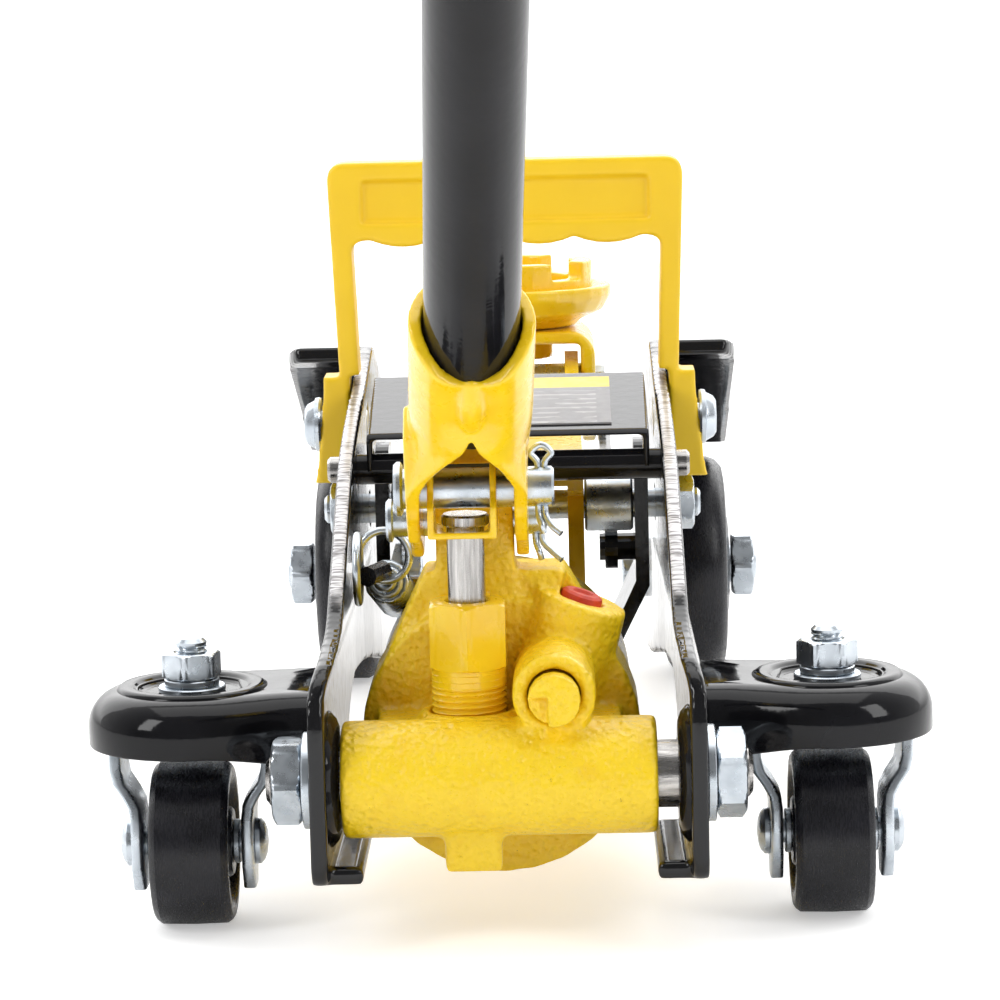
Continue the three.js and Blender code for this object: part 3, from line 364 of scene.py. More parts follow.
def zinc_plate():
    look = Finish("zinc_plate", metallic=1.0)
    tint = look.ramp(look.noise(120, 3), (0.50, 0.55, 0.60, 1), (0.66, 0.71, 0.76, 1))
    gloss = look.ramp(look.noise(260, 3), 0.24, 0.36)
    dents = look.bump(look.noise(700, 3), 0.00004, 0.4)
    return look.finish(tint, gloss, dents)


def bare_steel(name, stretch):
    look = Finish(name, metallic=1.0)
    tint = look.ramp(look.noise(700, 4, 0.6, stretch), (0.30, 0.29, 0.28, 1), (0.60, 0.58, 0.56, 1))
    gloss = look.ramp(look.noise(900, 3, 0.6, stretch), 0.16, 0.36)
    lines = look.bump(look.noise(1600, 3, 0.6, stretch), 0.0001, 0.5)
    return look.finish(tint, gloss, lines)


def red_rubber():
    look = Finish("red_rubber")
    tint = look.ramp(look.noise(300, 3), (0.52, 0.035, 0.012, 1), (0.68, 0.060, 0.020, 1))
    gloss = look.ramp(look.noise(800, 2), 0.4, 0.6)
    return look.finish(tint, gloss, look.bump(look.noise(900, 3), 0.0002, 0.4))


def label_film():
    """A grey printed film with a pale yellow band along its top and rows of plain bars."""
    look = Finish("label_film")
    axes = look.node("ShaderNodeSeparateXYZ")
    look.link(look.place, axes.inputs["Vector"])
    band = look.limits(axes.outputs["Y"], 0.1285, 0.129)
    rows = look.math("FRACT", look.math("MULTIPLY", axes.outputs["Y"], 260.0))
    bars = look.limits(rows, 0.60, 0.66)
    breaks = look.limits(look.noise(140, 1, 0.5, (1, 6, 1)), 0.46, 0.50)
    left = look.limits(look.math("ABSOLUTE", axes.outputs["X"]), 0.0235, 0.023)
    low = look.limits(axes.outputs["Y"], 0.126, 0.1255)
    ink = look.math("MULTIPLY", look.math("MULTIPLY", bars, breaks), look.math("MULTIPLY", left, low))
    paper = look.mix(ink, (0.30, 0.30, 0.32, 1), (0.46, 0.46, 0.47, 1))
    tint = look.mix(band, paper, (0.86, 0.68, 0.12, 1))
    return look.finish(tint, look.ramp(look.noise(400, 2), 0.42, 0.55))


LOOKS = {
    "yellow_paint": yellow_enamel(),
    "cast_yellow": cast_enamel(),
    "yellow_plastic": yellow_plastic(),
    "black_paint": black_enamel(),
    "black_plastic": black_plastic(),
    "grip_rubber": grip_rubber(),
    "zinc": zinc_plate(),
    "bare_steel": bare_steel("bare_steel", (0.15, 1, 1)),
    "red_rubber": red_rubber(),
    "label_film": label_film(),
}
WHEEL_LOOK = black_plastic()
PLATE_LOOK = plate_enamel()
PISTON_LOOK = bare_steel("piston_steel", (1, 1, 0.06))
ROD_LOOK = black_enamel("rod_enamel")


def paint_cad_nodes():
    for name, slot in SLOT_OF.items():
        materials = NODES[name].data.materials
        materials.clear()
        materials.append(PLATE_LOOK if name.startswith("side_plate") else LOOKS[slot])


def soften_edges(node, width, segments=3, limit=30):
    """Merges a faceted solid's flat faces, then rounds its edges, by modifiers only."""
    flat = node.modifiers.new("flatten", "DECIMATE")
    flat.decimate_type = "DISSOLVE"
    flat.angle_limit = math.radians(1)
    bevel = node.modifiers.new("bevel", "BEVEL")
    bevel.width = width * MM
    bevel.segments = segments
    bevel.limit_method = "ANGLE"
    bevel.angle_limit = math.radians(limit)
    node.data.polygons.foreach_set("use_smooth", [True] * len(node.data.polygons))
    node.modifiers.new("normals", "WEIGHTED_NORMAL").keep_sharp = True


# ------------------------------------------------------------------ shapes, in millimetres

class Shape:
    """Points and faces that grow together and become one object."""

    def __init__(self):
        self.points = []
        self.faces = []

    def grid(self, rows, wrap=False):
        """Faces between neighbouring rows of points; wrap closes each row on itself."""
        first = len(self.points)
        width = len(rows[0])
        for row in rows:
            self.points.extend(row)
        last = width if wrap else width - 1
        for i in range(len(rows) - 1):
            for j in range(last):
                a = first + i * width + j
                b = first + i * width + (j + 1) % width
                self.faces.append((a, b, b + width, a + width))
        return self

    def cap(self, row, flip=False):
        first = len(self.points)
        self.points.extend(row)
        face = list(range(first, first + len(row)))
        self.faces.append(tuple(reversed(face)) if flip else tuple(face))
        return self

    def turned(self, profile, at, along, outline=None, sides=72):
        """Revolves (distance, radius) pairs about a line; an outline function can reshape a ring."""
        axis = Vector(along).normalized()
        across = Vector((0, 0, 1)) if abs(axis.z) < 0.9 else Vector((0, 1, 0))
        right = across.cross(axis).normalized()
        up = axis.cross(right)
        rows = []
        for distance, radius in profile:
            row = []
            for k in range(sides):
                angle = 2 * math.pi * k / sides
                reach = outline(angle, distance, radius) if outline else radius
                spoke = right * math.cos(angle) + up * math.sin(angle)
                row.append(Vector(at) + axis * distance + spoke * reach)
            rows.append(row)
        self.grid(rows, wrap=True)
        if profile[0] != profile[-1]:
            self.cap(rows[0], flip=True)
            self.cap(rows[-1])
        return self

    def add(self, other):
        first = len(self.points)
        self.points.extend(other.points)
        self.faces.extend(tuple(first + i for i in face) for face in other.faces)

    def move(self, matrix):
        self.points = [matrix @ Vector(point) for point in self.points]
        return self

    def wire(self, route, radius, sides=12, closed=False):
        """A round wire along a route of points."""
        points = [Vector(p) for p in route]
        count = len(points)
        rows = []
        side = None
        for i, point in enumerate(points):
            ahead = points[(i + 1) % count] if closed or i + 1 < count else point
            behind = points[i - 1] if closed or i > 0 else point
            direction = (ahead - behind).normalized()
            if side is None:
                side = direction.orthogonal().normalized()
            side = (side - direction * side.dot(direction)).normalized()
            other = direction.cross(side)
            turns = [2 * math.pi * k / sides for k in range(sides)]
            rows.append([point + (side * math.cos(a) + other * math.sin(a)) * radius for a in turns])
        if closed:
            rows.append(rows[0])
            return self.grid(rows, wrap=True)
        self.grid(rows, wrap=True)
        self.cap(rows[0], flip=True)
        return self.cap(rows[-1])


def smooth_route(corners, steps=10):
    """Points along a smooth curve through the corners."""
    route = []
    padded = [corners[0]] + list(corners) + [corners[-1]]
    for i in range(1, len(padded) - 2):
        p0, p1, p2, p3 = (Vector(p) for p in padded[i - 1:i + 3])
        for k in range(steps):
            t = k / steps
            route.append(0.5 * (2 * p1 + (p2 - p0) * t + (2 * p0 - 5 * p1 + 4 * p2 - p3) * t * t
                                + (3 * p1 - p0 - 3 * p2 + p3) * t ** 3))
    route.append(Vector(corners[-1]))
    return route


def smooth_step(start, end, value):
    t = min(max((value - start) / (end - start), 0.0), 1.0)
    return t * t * (3 - 2 * t)


def mark_creases(mesh, limit):
    work = bmesh.new()
    work.from_mesh(mesh)
    bmesh.ops.remove_doubles(work, verts=work.verts, dist=1e-7)
    bmesh.ops.recalc_face_normals(work, faces=work.faces)
    for face in work.faces:
        face.smooth = True
    for edge in work.edges:
        sharp = len(edge.link_faces) == 2 and edge.calc_face_angle(0) > math.radians(limit)
        edge.smooth = not sharp
    work.to_mesh(mesh)
    work.free()


def show(name, shape, node, look=None, mirror=False, crease=32):
    """Makes the object, gives it its node's finish and body, and lets it stand for the node."""
    flip = -1 if mirror else 1
    points = [(flip * p[0] * MM, p[1] * MM, p[2] * MM) for p in shape.points]
    mesh = bpy.data.meshes.new(name)
    mesh.from_pydata(points, [], shape.faces)
    mark_creases(mesh, crease)
    made = bpy.data.objects.new(name, mesh)
    bpy.context.scene.collection.objects.link(made)
    mesh.materials.append(look or LOOKS[SLOT_OF[node]])
    stand_for(made, node)
    return made


def stand_for(made, node):
    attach(made, BODY_OF[node])
    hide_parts(node)


def hex_outline(width, turn=0.0):
    """Keeps a ring inside a hexagon of this width across flats."""
    def reach(angle, distance, radius):
        sector = (angle + turn) % (math.pi / 3) - math.pi / 6
        return min(radius, width / 2 / math.cos(sector))
    return reach


def thread_outline(pitch, depth):
    """Cuts a helical groove into a ring."""
    def reach(angle, distance, radius):
        phase = (distance / pitch - angle / (2 * math.pi)) % 1
        return radius - depth * abs(2 * phase - 1) ** 0.8
    return reach


def threaded(shape, at, along, start, end, radius, pitch, chamfer=1.0):
    """A threaded length with a chamfered tip at its end."""
    steps = max(8, int((end - chamfer - start) / pitch * 8))
    rows = [(start + (end - chamfer - start) * i / steps, radius) for i in range(steps + 1)]
    shape.turned(rows, at, along, thread_outline(pitch, 0.58 * pitch), 48)
    root = radius - 0.5 * pitch
    tip = [(end - chamfer - 0.6, radius - 0.1), (end - chamfer, radius - 0.1),
           (end, root - chamfer * 0.5), (end, 0.3)]
    return shape.turned(tip, at, along, None, 48)


def nut_shape(shape, at, along, width, thickness, bore, turn=0.0, start=0.0):
    """A hexagon nut with chamfered corners and a countersunk bore."""
    corner = width / math.sqrt(3)
    face = width / 2 * 0.95
    drop = (corner - face) * 0.5
    end = start + thickness
    chamfer = [(drop * share, face + (corner - face) * share) for share in (0, 0.3, 0.6)] + [(drop, corner)]
    profile = [(start + 0.5, bore), (start, bore + 0.6)]
    profile += [(start + depth, radius) for depth, radius in chamfer]
    profile += [(end - depth, radius) for depth, radius in reversed(chamfer)]
    profile += [(end, bore + 0.6), (end - 0.5, bore), (start + 0.5, bore)]
    return shape.turned(profile, at, along, hex_outline(width, turn), 96)


def washer_shape(shape, at, along, start, thickness, bore, radius):
    soft = 0.25
    end = start + thickness
    profile = [(start, bore), (start, radius - soft), (start + soft, radius),
               (end - soft, radius), (end, radius - soft), (end, bore), (start, bore)]
    return shape.turned(profile, at, along)


def rod_shape(shape, at, along, start, end, radius, chamfer=0.6, sides=64):
    profile = [(start, 0.2), (start, radius - chamfer), (start + chamfer, radius),
               (end - chamfer, radius), (end, radius - chamfer), (end, 0.2)]
    return shape.turned(profile, at, along, None, sides)


def fuse(made, cell, rounds):
    """Grows a piece's overlapping bodies into one skin with worn corners."""
    remesh = made.modifiers.new("remesh", "REMESH")
    remesh.mode = "VOXEL"
    remesh.voxel_size = cell * MM
    remesh.use_smooth_shade = True
    soften = made.modifiers.new("soften", "SMOOTH")
    soften.factor = 0.5
    soften.iterations = rounds


def rounding(made, width, limit=35):
    bevel = made.modifiers.new("bevel", "BEVEL")
    bevel.width = width * MM
    bevel.segments = 2
    bevel.limit_method = "ANGLE"
    bevel.angle_limit = math.radians(limit)
    bevel.harden_normals = False


def moulded(node, cell, rounds, look=None):
    """A copy of a CAD solid whose corners are worn round, as on a casting or a pressing."""
    mesh = NODES[node].data.copy()
    made = bpy.data.objects.new(node + "_formed", mesh)
    bpy.context.scene.collection.objects.link(made)
    mesh.materials.clear()
    mesh.materials.append(look or LOOKS[SLOT_OF[node]])
    fuse(made, cell, rounds)
    stand_for(made, node)
    return made


# ------------------------------------------------------------------ rods, bolts and nuts

ORIGIN = (0, 0, 0)
X, Y, Z = (1, 0, 0), (0, 1, 0), (0, 0, 1)
CROSS_AT = (0, 0, 40)
TIE_AT = (0, 97, 101)
PIVOT_AT = (0, 150, 83)
AXLE_AT = (0, 339, 35)
CARRY_BOLT_AT = (0, 150, 106.5)
FULCRUM_AT = (0, 32, 97)
PISTON_PIN_AT = (0, 12, 107.5)
CASTER_X, CASTER_Y = 77.5, 30
CASTER_AT = (CASTER_X, CASTER_Y, 0)
WHEEL_AT = (CASTER_X, 24, 20)
ARM_ROOT = 46.8
M12, M12_PITCH, M12_NUT, M12_BORE = 6, 1.75, 19, 5.6
M8, M8_PITCH, M8_NUT, M8_BORE = 4, 1.25, 13, 3.7


def cross_shaft():
    shaft = Shape()
    rod_shape(shaft, CROSS_AT, X, -44.5, 44.5, 8)
    for side in (-1, 1):
        rod_shape(shaft, CROSS_AT, (side, 0, 0), 44, 49, M12, 0.1)
        threaded(shaft, CROSS_AT, (side, 0, 0), 48, 57.5, M12, M12_PITCH)
    show("cross_shaft_turned", shaft, "cross_shaft")
    for label, side, turn in (("left", -1, 0.0), ("right", 1, math.pi / 6)):
        nut = Shape()
        nut_shape(nut, CROSS_AT, (side, 0, 0), M12_NUT, 7.2, M12_BORE, turn, 48.8)
        show("cross_nut_" + label, nut, "cross_shaft_nut_" + label)
        washer = Shape()
        washer_shape(washer, CROSS_AT, (side, 0, 0), 46.7, 2.0, 6.1, 11.5)
        show("cross_washer_" + label, washer, "cross_shaft_nut_" + label)


def weld_collars():
    """The rough black weld inside each plate, round the cross shaft."""
    bore = 8.4
    count = 24
    draw = random.Random(4)
    bumps = [draw.uniform(-0.8, 0.9) for _ in range(count)]

    def ragged(angle, distance, radius):
        if radius == bore:
            return radius
        place = angle / (2 * math.pi) * count
        share = place % 1
        swell = bumps[int(place) % count] * (1 - share) + bumps[(int(place) + 1) % count] * share
        return radius + swell + 1.5 * abs(math.sin(angle))

    for label, side in SIDES:
        collar = Shape()
        bead = [(39.9, 10.5), (40.6, 12.5), (42.0, 14.2), (43, 14.6)]
        profile = [(39.8, bore)] + bead + [(43, bore), (39.8, bore)]
        collar.turned(profile, CROSS_AT, (side, 0, 0), ragged)
        show("weld_collar_" + label, collar, "side_plate_" + label, crease=60)


def tie_rod():
    rod = Shape()
    rod_shape(rod, TIE_AT, X, -39.8, 39.8, 4, 0.4)
    show("tie_rod_turned", rod, "tie_rod", look=ROD_LOOK)
    ends = Shape()
    for side in (-1, 1):
        profile = [(39, 2.8), (43.5, 2.8), (43.6, 3.4), (46.2, 3.4), (47, 2.6), (47, 1.2), (46.3, 0.3)]
        ends.turned(profile, TIE_AT, (side, 0, 0))
    show("tie_rod_ends", ends, "tie_rod")


def pivot_bolt():
    bolt = Shape()
    rod_shape(bolt, PIVOT_AT, X, -44, 44, M8, 0.2)
    for side in (-1, 1):
        threaded(bolt, PIVOT_AT, (side, 0, 0), 43.4, 51.5, M8, M8_PITCH, 0.8)
    show("pivot_bolt_turned", bolt, "pivot_bolt")
    for label, side in SIDES:
        nut = Shape()
        nut_shape(nut, PIVOT_AT, (side, 0, 0), M8_NUT, 6.4, M8_BORE, math.pi / 6, 43.4)
        show("pivot_nut_turned_" + label, nut, "pivot_nut_" + label)


def front_axles():
    for label, side in SIDES:
        axle = Shape()
        rod_shape(axle, AXLE_AT, (side, 0, 0), 34, 68, M12, 0.3)
        nut_shape(axle, AXLE_AT, (side, 0, 0), M12_NUT, 5.5, 3, 0.0, 32.5)
        threaded(axle, AXLE_AT, (side, 0, 0), 67, 76, M12, M12_PITCH)
        show("front_axle_turned_" + label, axle, "front_axle_" + label)
        nut = Shape()
        nut_shape(nut, AXLE_AT, (side, 0, 0), M12_NUT, 7.2, M12_BORE, 0.0, 67.9)
        show("front_nut_turned_" + label, nut, "front_axle_nut_" + label)


def caster_bolts():
    seat = 56.4
    for label, turn in (("left", 0.35), ("right", 0.0)):
        bolt = Shape()
        rod_shape(bolt, CASTER_AT, Z, 44.6, 62, M8, 0.3)
        threaded(bolt, CASTER_AT, Z, 61, 69.5, M8, M8_PITCH, 0.9)
        washer_shape(bolt, CASTER_AT, Z, seat, 1.4, 4.2, 8.2)
        washer_shape(bolt, CASTER_AT, Z, seat + 1.5, 1.7, 4.2, 6.7)
        nut_shape(bolt, CASTER_AT, Z, M8_NUT, 6.5, M8_BORE, turn, seat + 3.3)
        show("caster_bolt_turned_" + label, bolt, "caster_bolt_" + label, mirror=label == "left")


def carry_bolts():
    for label, side in SIDES:
        bolt = Shape()
        rod_shape(bolt, CARRY_BOLT_AT, (side, 0, 0), 39.1, 54.5, 3.8, 0.3)
        head = [(51.6, 3.8), (51.6, 7.2), (52.2, 7.5), (53.2, 7.3),
                (53.5, 6.6), (55.4, 5.6), (56.2, 4.4), (56.4, 0.4)]
        bolt.turned(head, CARRY_BOLT_AT, (side, 0, 0))
        show("carry_bolt_turned_" + label, bolt, "carry_handle_bolt_" + label)


def carry_handle():
    """The moulded handle; the outer faces of its brackets are drawn in above their lower ends."""
    outer_face, drawn_in, lower_ends = 52 * MM, 50.5 * MM, 100 * MM
    made = moulded("carry_handle", 0.6, 4)
    for vertex in made.data.vertices:
        if abs(vertex.co.x) > outer_face and vertex.co.z > lower_ends:
            vertex.co.x = math.copysign(drawn_in, vertex.co.x)


def cotter_shape(at, reach, lean):
    """A split pin: a round eye above, two legs through the hole and bent apart below."""
    x, y, z = at
    wire = 0.8
    pin = Shape()
    eye = [(x - wire, y, z + reach - 2), (x - 2.4, y, z + reach + 0.5), (x, y, z + reach + 2.4),
           (x + 2.4, y, z + reach + 0.5), (x + wire, y, z + reach - 2)]
    pin.wire(smooth_route([(x - wire, y, z)] + eye + [(x + wire, y, z)], 8), wire)
    for spread in (-1, 1):
        leg = [(x + wire * spread, y, z), (x + wire * spread, y, z - reach + 1),
               (x + (2.0 + lean) * max(spread, 0), y - 1.5, z - reach - 1.5),
               (x + (4.5 + lean) * max(spread, 0.1), y - 3.0 * max(spread, 0.3), z - reach - 3.5)]
        pin.wire(smooth_route(leg, 8), wire)
    return pin


def pins():
    fulcrum = Shape()
    rod_shape(fulcrum, FULCRUM_AT, X, -28, 10, 4)
    head = [(-29, 0.3), (-29, 4.6), (-28.4, 5.3), (-27.6, 5.3), (-27.2, 4.4), (-27.2, 3.9)]
    fulcrum.turned(head, FULCRUM_AT, X)
    show("fulcrum_pin_turned", fulcrum, "fulcrum_pin")
    piston = Shape()
    rod_shape(piston, PISTON_PIN_AT, X, -25, 12, 4.8)
    head = [(-26, 0.3), (-26, 5.8), (-25.3, 6.5), (-24.4, 6.5), (-23.8, 5.6), (-23.8, 4.7)]
    piston.turned(head, PISTON_PIN_AT, X)
    show("piston_pin_turned", piston, "piston_pin")
    show("fulcrum_cotter_bent", cotter_shape((8,) + FULCRUM_AT[1:], 6.5, 1), "fulcrum_cotter")
    show("piston_cotter_bent", cotter_shape((9,) + PISTON_PIN_AT[1:], 7.5, 0), "piston_cotter")


def pivot_sleeves():
    for label, side in SIDES:
        sleeve = Shape()
        profile = [(19.8, 4.4), (19.8, 6.9), (20.4, 7.5), (32.4, 7.5), (33, 6.9), (33, 4.4), (19.8, 4.4)]
        sleeve.turned(profile, PIVOT_AT, (side, 0, 0))
        show("pivot_sleeve_turned_" + label, sleeve, "pivot_sleeve_" + label)


# ------------------------------------------------------------------ wheels and casters

def front_wheels():
    inner_face = [(43.4, 6.4), (43.4, 21), (44.4, 23.5), (46.2, 26), (46.4, 30)]
    tread = [(46.9, 31.4), (48.2, 33.6), (50.5, 35), (60.5, 35), (63.2, 33.9), (65.2, 31.6)]
    outer_face = [(65.8, 28), (65.6, 20), (66.9, 15), (67, 13), (67, 6.4)]
    profile = inner_face + tread + outer_face + inner_face[:1]
    for label, side in SIDES:
        wheel = Shape().turned(profile, AXLE_AT, (side, 0, 0), None, 128)
        show("front_wheel_turned_" + label, wheel, "front_wheel_" + label, look=WHEEL_LOOK)


def caster_wheels():
    half = 9.5
    hub = [(-half, 4.4), (-half, 7.8), (-half + 0.5, 8.4), (-half + 2.6, 9.2)]
    rim = [(-half + 2.6, 14.6), (-half + 0.6, 15.4), (-half, 16.2), (-half, 18.2)]
    face = hub + rim + [(-half + 0.5, 19.0), (-half + 1.6, 19.8)]
    other_face = [(-distance, radius) for distance, radius in reversed(face)]
    profile = face + [(0, 20)] + other_face + face[:1]
    for label, side in SIDES:
        wheel = Shape().turned(profile, WHEEL_AT, X, None, 128)
        mirror = side < 0
        show("caster_wheel_turned_" + label, wheel, "caster_wheel_" + label, WHEEL_LOOK, mirror)
        axle = Shape()
        rod_shape(axle, WHEEL_AT, X, -16.8, 16.8, 3)
        for end in (-1, 1):
            across = (end, 0, 0)
            washer_shape(axle, WHEEL_AT, across, 9.7, 1.5, 3, 5.4)
            rivet = [(15.1, 5.6), (16.2, 5.6), (17.1, 4.6), (17.7, 3.0), (18, 0.4)]
            axle.turned(rivet, WHEEL_AT, across)
        show("caster_axle_turned_" + label, axle, "caster_axle_" + label, mirror=mirror)


def fork_leg(side):
    """One pressed leg: out from under the swivel cup, in above the axle, and rounded at its foot."""
    stations = [  # reach, height, half width, middle along the jack
        (14.5, 48.4, 9.5, 30), (17.6, 48.2, 9.8, 30), (19.4, 46.4, 9.8, 29.6), (20, 43.4, 9.6, 29),
        (20, 39, 9.2, 28), (19.2, 35.6, 8.8, 27), (17.0, 32.6, 8.6, 26), (15.4, 29.8, 8.6, 25.2),
        (15, 26.5, 8.6, 24.6), (15, 21, 8.8, 24), (15, 15, 8.4, 24), (15, 9, 4.0, 24)]
    thickness = 3.2
    rows = []
    for reach, z, width, middle in stations:
        lift = thickness * max(0.0, (z - 44) / 6)
        inner = reach - thickness + lift * 0.5
        ring = []
        for k in range(24):
            angle = 2 * math.pi * k / 24
            across = math.copysign(abs(math.cos(angle)) ** 0.35, math.cos(angle))
            deep = math.copysign(abs(math.sin(angle)) ** 0.35, math.sin(angle))
            x = (reach + inner) / 2 + (reach - inner) / 2 * across
            height = z - lift * 0.5 * (1 - across)
            ring.append(Vector((CASTER_X + side * x, middle + width * deep, height)))
        rows.append(ring)
    leg = Shape().grid(rows, wrap=True)
    leg.cap(rows[0])
    return leg.cap(rows[-1], flip=True)


def caster_forks():
    for label, mirror in (("left", True), ("right", False)):
        fork = Shape()
        for side in (-1, 1):
            fork.add(fork_leg(side))
        cup = [(46, 4.3), (46, 15.5), (46.6, 17.2), (48, 18), (49, 17.4), (49.4, 15),
               (49.6, 13.4), (52.6, 12.6), (53.6, 11), (53.6, 4.3), (46, 4.3)]
        fork.turned(cup, CASTER_AT, Z)
        name = "caster_fork_pressed_" + label
        made = show(name, fork, "caster_fork_" + label, mirror=mirror, crease=50)
        rounding(made, 0.4)


def arm_outline():
    """The caster arm from above: from the plate at its rear, round the tip and back to the plate."""
    radius = 25.5
    rear_root = 12
    rear_edge = CASTER_Y - radius
    rear = []
    for t in (i / 20 for i in range(20)):
        x = ARM_ROOT + (CASTER_X - ARM_ROOT) * t
        rear.append(Vector((x, rear_root + (rear_edge - rear_root) * smooth_step(0.1, 1.0, t))))
    arc = [Vector((CASTER_X + radius * math.cos(t), CASTER_Y + radius * math.sin(t)))
           for t in (math.pi * (-0.5 + i / 40) for i in range(41))]
    front_edge, front_root = Vector((CASTER_X, CASTER_Y + radius)), Vector((ARM_ROOT, 59.1))
    front = [front_edge.lerp(front_root, t / 8) for t in range(1, 9)]
    return rear + arc + front


def arm_shell(outline):
    """The pressed skin of a caster arm: side wall, large fillet and flat top with a round hole."""
    top, fillet = 57.5, 8.5
    normals = []
    for i, point in enumerate(outline):
        ahead, behind = outline[min(i + 1, len(outline) - 1)], outline[max(i - 1, 0)]
        direction = (ahead - behind).normalized()
        normals.append(Vector((-direction.y, direction.x)))
    lips = [41 + 3 * smooth_step(50, 74, point.x) for point in outline]
    rows = [[Vector((p.x, p.y, lip)) for p, lip in zip(outline, lips)]]
    for k in range(9):
        angle = math.pi / 2 * k / 8
        inset = fillet * (1 - math.cos(angle))
        z = top - fillet + fillet * math.sin(angle)
        rows.append([Vector((max(p.x + n.x * inset, ARM_ROOT), p.y + n.y * inset, z))
                     for p, n in zip(outline, normals)])
    return rows, top


def caster_arms():
    hole_radius = 13
    rows, top = arm_shell(arm_outline())
    for label, mirror in (("left", True), ("right", False)):
        shell = Shape().grid(rows)
        rim = rows[-1]
        angles = [math.atan2(p.y - CASTER_Y, p.x - CASTER_X) for p in rim]
        hole = [Vector((CASTER_X + hole_radius * math.cos(a), CASTER_Y + hole_radius * math.sin(a), top))
                for a in angles]
        shell.grid([rim, hole])
        shell.grid([[rim[-1], rim[0]], [hole[-1], hole[0]]])
        name = "caster_arm_pressed_" + label
        made = show(name, shell, "caster_arm_" + label, mirror=mirror, crease=50)
        wall = made.modifiers.new("wall", "SOLIDIFY")
        wall.thickness = 2.8 * MM
        wall.offset = -1
        rounding(made, 0.5, 60)
        dish = Shape()
        profile = [(56.0, 18.6), (57.6, 18.4), (58.3, 17.4), (58.3, 15.2), (57.9, 14.2), (56.6, 12.6),
                   (56.3, 11.6), (56.3, 4.4), (55.2, 4.4), (55.2, 18.6), (56.0, 18.6)]
        dish.turned(profile, CASTER_AT, Z)
        show("caster_arm_dish_" + label, dish, "caster_arm_" + label, mirror=mirror, crease=60)


# ------------------------------------------------------------------ handle

HANDLE_AT = Vector((-8.65, 28.0, 98.0))
HANDLE_LEAN = 46.0
HANDLE_TIP = 2.3
YOKE_FOOT, YOKE_RIM, RIM_DIP = 12, 77, 9.5
YOKE_WALL = 3.0
YOKE_RADIUS, YOKE_HALF_WIDTH = 13.0, 12.7


def handle_frame(tip=True):
    """Turns points drawn about the handle's own axis into the jack's frame."""
    turn = Matrix.Rotation(math.radians(HANDLE_LEAN), 4, "X")
    if tip:
        turn = turn @ Matrix.Rotation(math.radians(HANDLE_TIP), 4, "Y")
    return Matrix.Translation(HANDLE_AT) @ turn


def handle_tube():
    foot, end = 42, 400
    bore, radius, chamfer = 9.6, 11, 0.4
    profile = [(foot, bore), (foot, radius - chamfer), (foot + chamfer, radius), (end - chamfer, radius),
               (end, radius - chamfer), (end, bore), (foot, bore)]
    tube = Shape().turned(profile, ORIGIN, Z, None, 128)
    show("handle_tube_drawn", tube.move(handle_frame()), "handle_tube")


def handle_grip():
    radius, groove = 14.5, 13.9
    profile = [(295, 11.3), (295, 13.4), (296, 14.3), (303, radius)]
    for i in range(11):
        foot = 306 + i * 8
        profile += [(foot, radius), (foot + 0.8, groove), (foot + 2.4, groove), (foot + 3.2, radius)]
    profile += [(400, radius), (402, 13.8), (403, 12), (403, 0.4)]
    grip = Shape().turned(profile, ORIGIN, Z, None, 96)
    show("handle_grip_moulded", grip.move(handle_frame()), "handle_grip")


def round_section(height, t, out):
    """The yoke's tubular upper end, pinched in where its two edges meet."""
    radius = YOKE_RADIUS + out
    pinch = smooth_step(44, 54, height) * (1 - smooth_step(64, 74, height))
    x = radius * math.sin(math.pi * t)
    y = radius * math.cos(math.pi * t)
    if y < 0:
        y += pinch * 4.2 * max(0.0, 1 - abs(x) / 9.0) ** 1.1
    return x, y


def channel_section(height, t, out):
    """The yoke's open lower end: two flat cheeks joined by a round web."""
    bend, web = 0.34, 6.0
    front = -13.5 - 3.5 * smooth_step(30, 4, height)
    if abs(t) < bend:
        share = t / bend * math.pi / 2
        x = (YOKE_HALF_WIDTH + out) * math.sin(share)
        return x, web + (6.4 + out) * math.cos(share) * smooth_step(8, 24, height)
    share = (abs(t) - bend) / (1 - bend)
    return math.copysign(YOKE_HALF_WIDTH + out, t), web + (front - web) * share


def yoke_section(height, t, out):
    """A point so far out from the sheet's middle; t is 0 at the web and 1 or -1 at an edge."""
    close = smooth_step(26, 50, height)
    round_x, round_y = round_section(height, t, out)
    flat_x, flat_y = channel_section(height, t, out)
    x = flat_x * (1 - close) + round_x * close
    return Vector((x, flat_y * (1 - close) + round_y * close, height))


def tip_socket(shape):
    """Tips the socket only: the lower edge stays in line with the ears."""
    straight, tipped = handle_frame(tip=False), handle_frame()
    shape.points = [(straight @ point).lerp(tipped @ point, smooth_step(14, 45, point.z))
                    for point in shape.points]


def add_ear(shape, side):
    outline = ear_outline()
    first, count = len(shape.points), len(outline)
    for x in (11.2 * side, 14.3 * side):
        shape.points.extend(Vector((x, y, z)) for y, z in outline)
    shape.faces.append(tuple(range(first, first + count)))
    shape.faces.append(tuple(range(first + 2 * count - 1, first + count - 1, -1)))
    for i in range(count):
        j = (i + 1) % count
        shape.faces.append((first + i, first + j, first + count + j, first + count + i))


def add_weld(shape):
    """The swelling where the two edges of the socket meet."""
    middle_y, middle_z = -11.0, 59
    half_width, half_height = 3.4, 9.5
    spokes = [2 * math.pi * j / 24 for j in range(24)]
    rows = []
    for k in range(1, 20):
        angle = math.pi * k / 20
        reach = half_width * math.sin(angle)
        z = middle_z - half_height * math.cos(angle)
        rows.append([Vector((reach * math.cos(a), middle_y + reach * math.sin(a), z)) for a in spokes])
    shape.grid(rows, wrap=True)
    shape.cap(rows[0], flip=True)
    shape.cap(rows[-1])


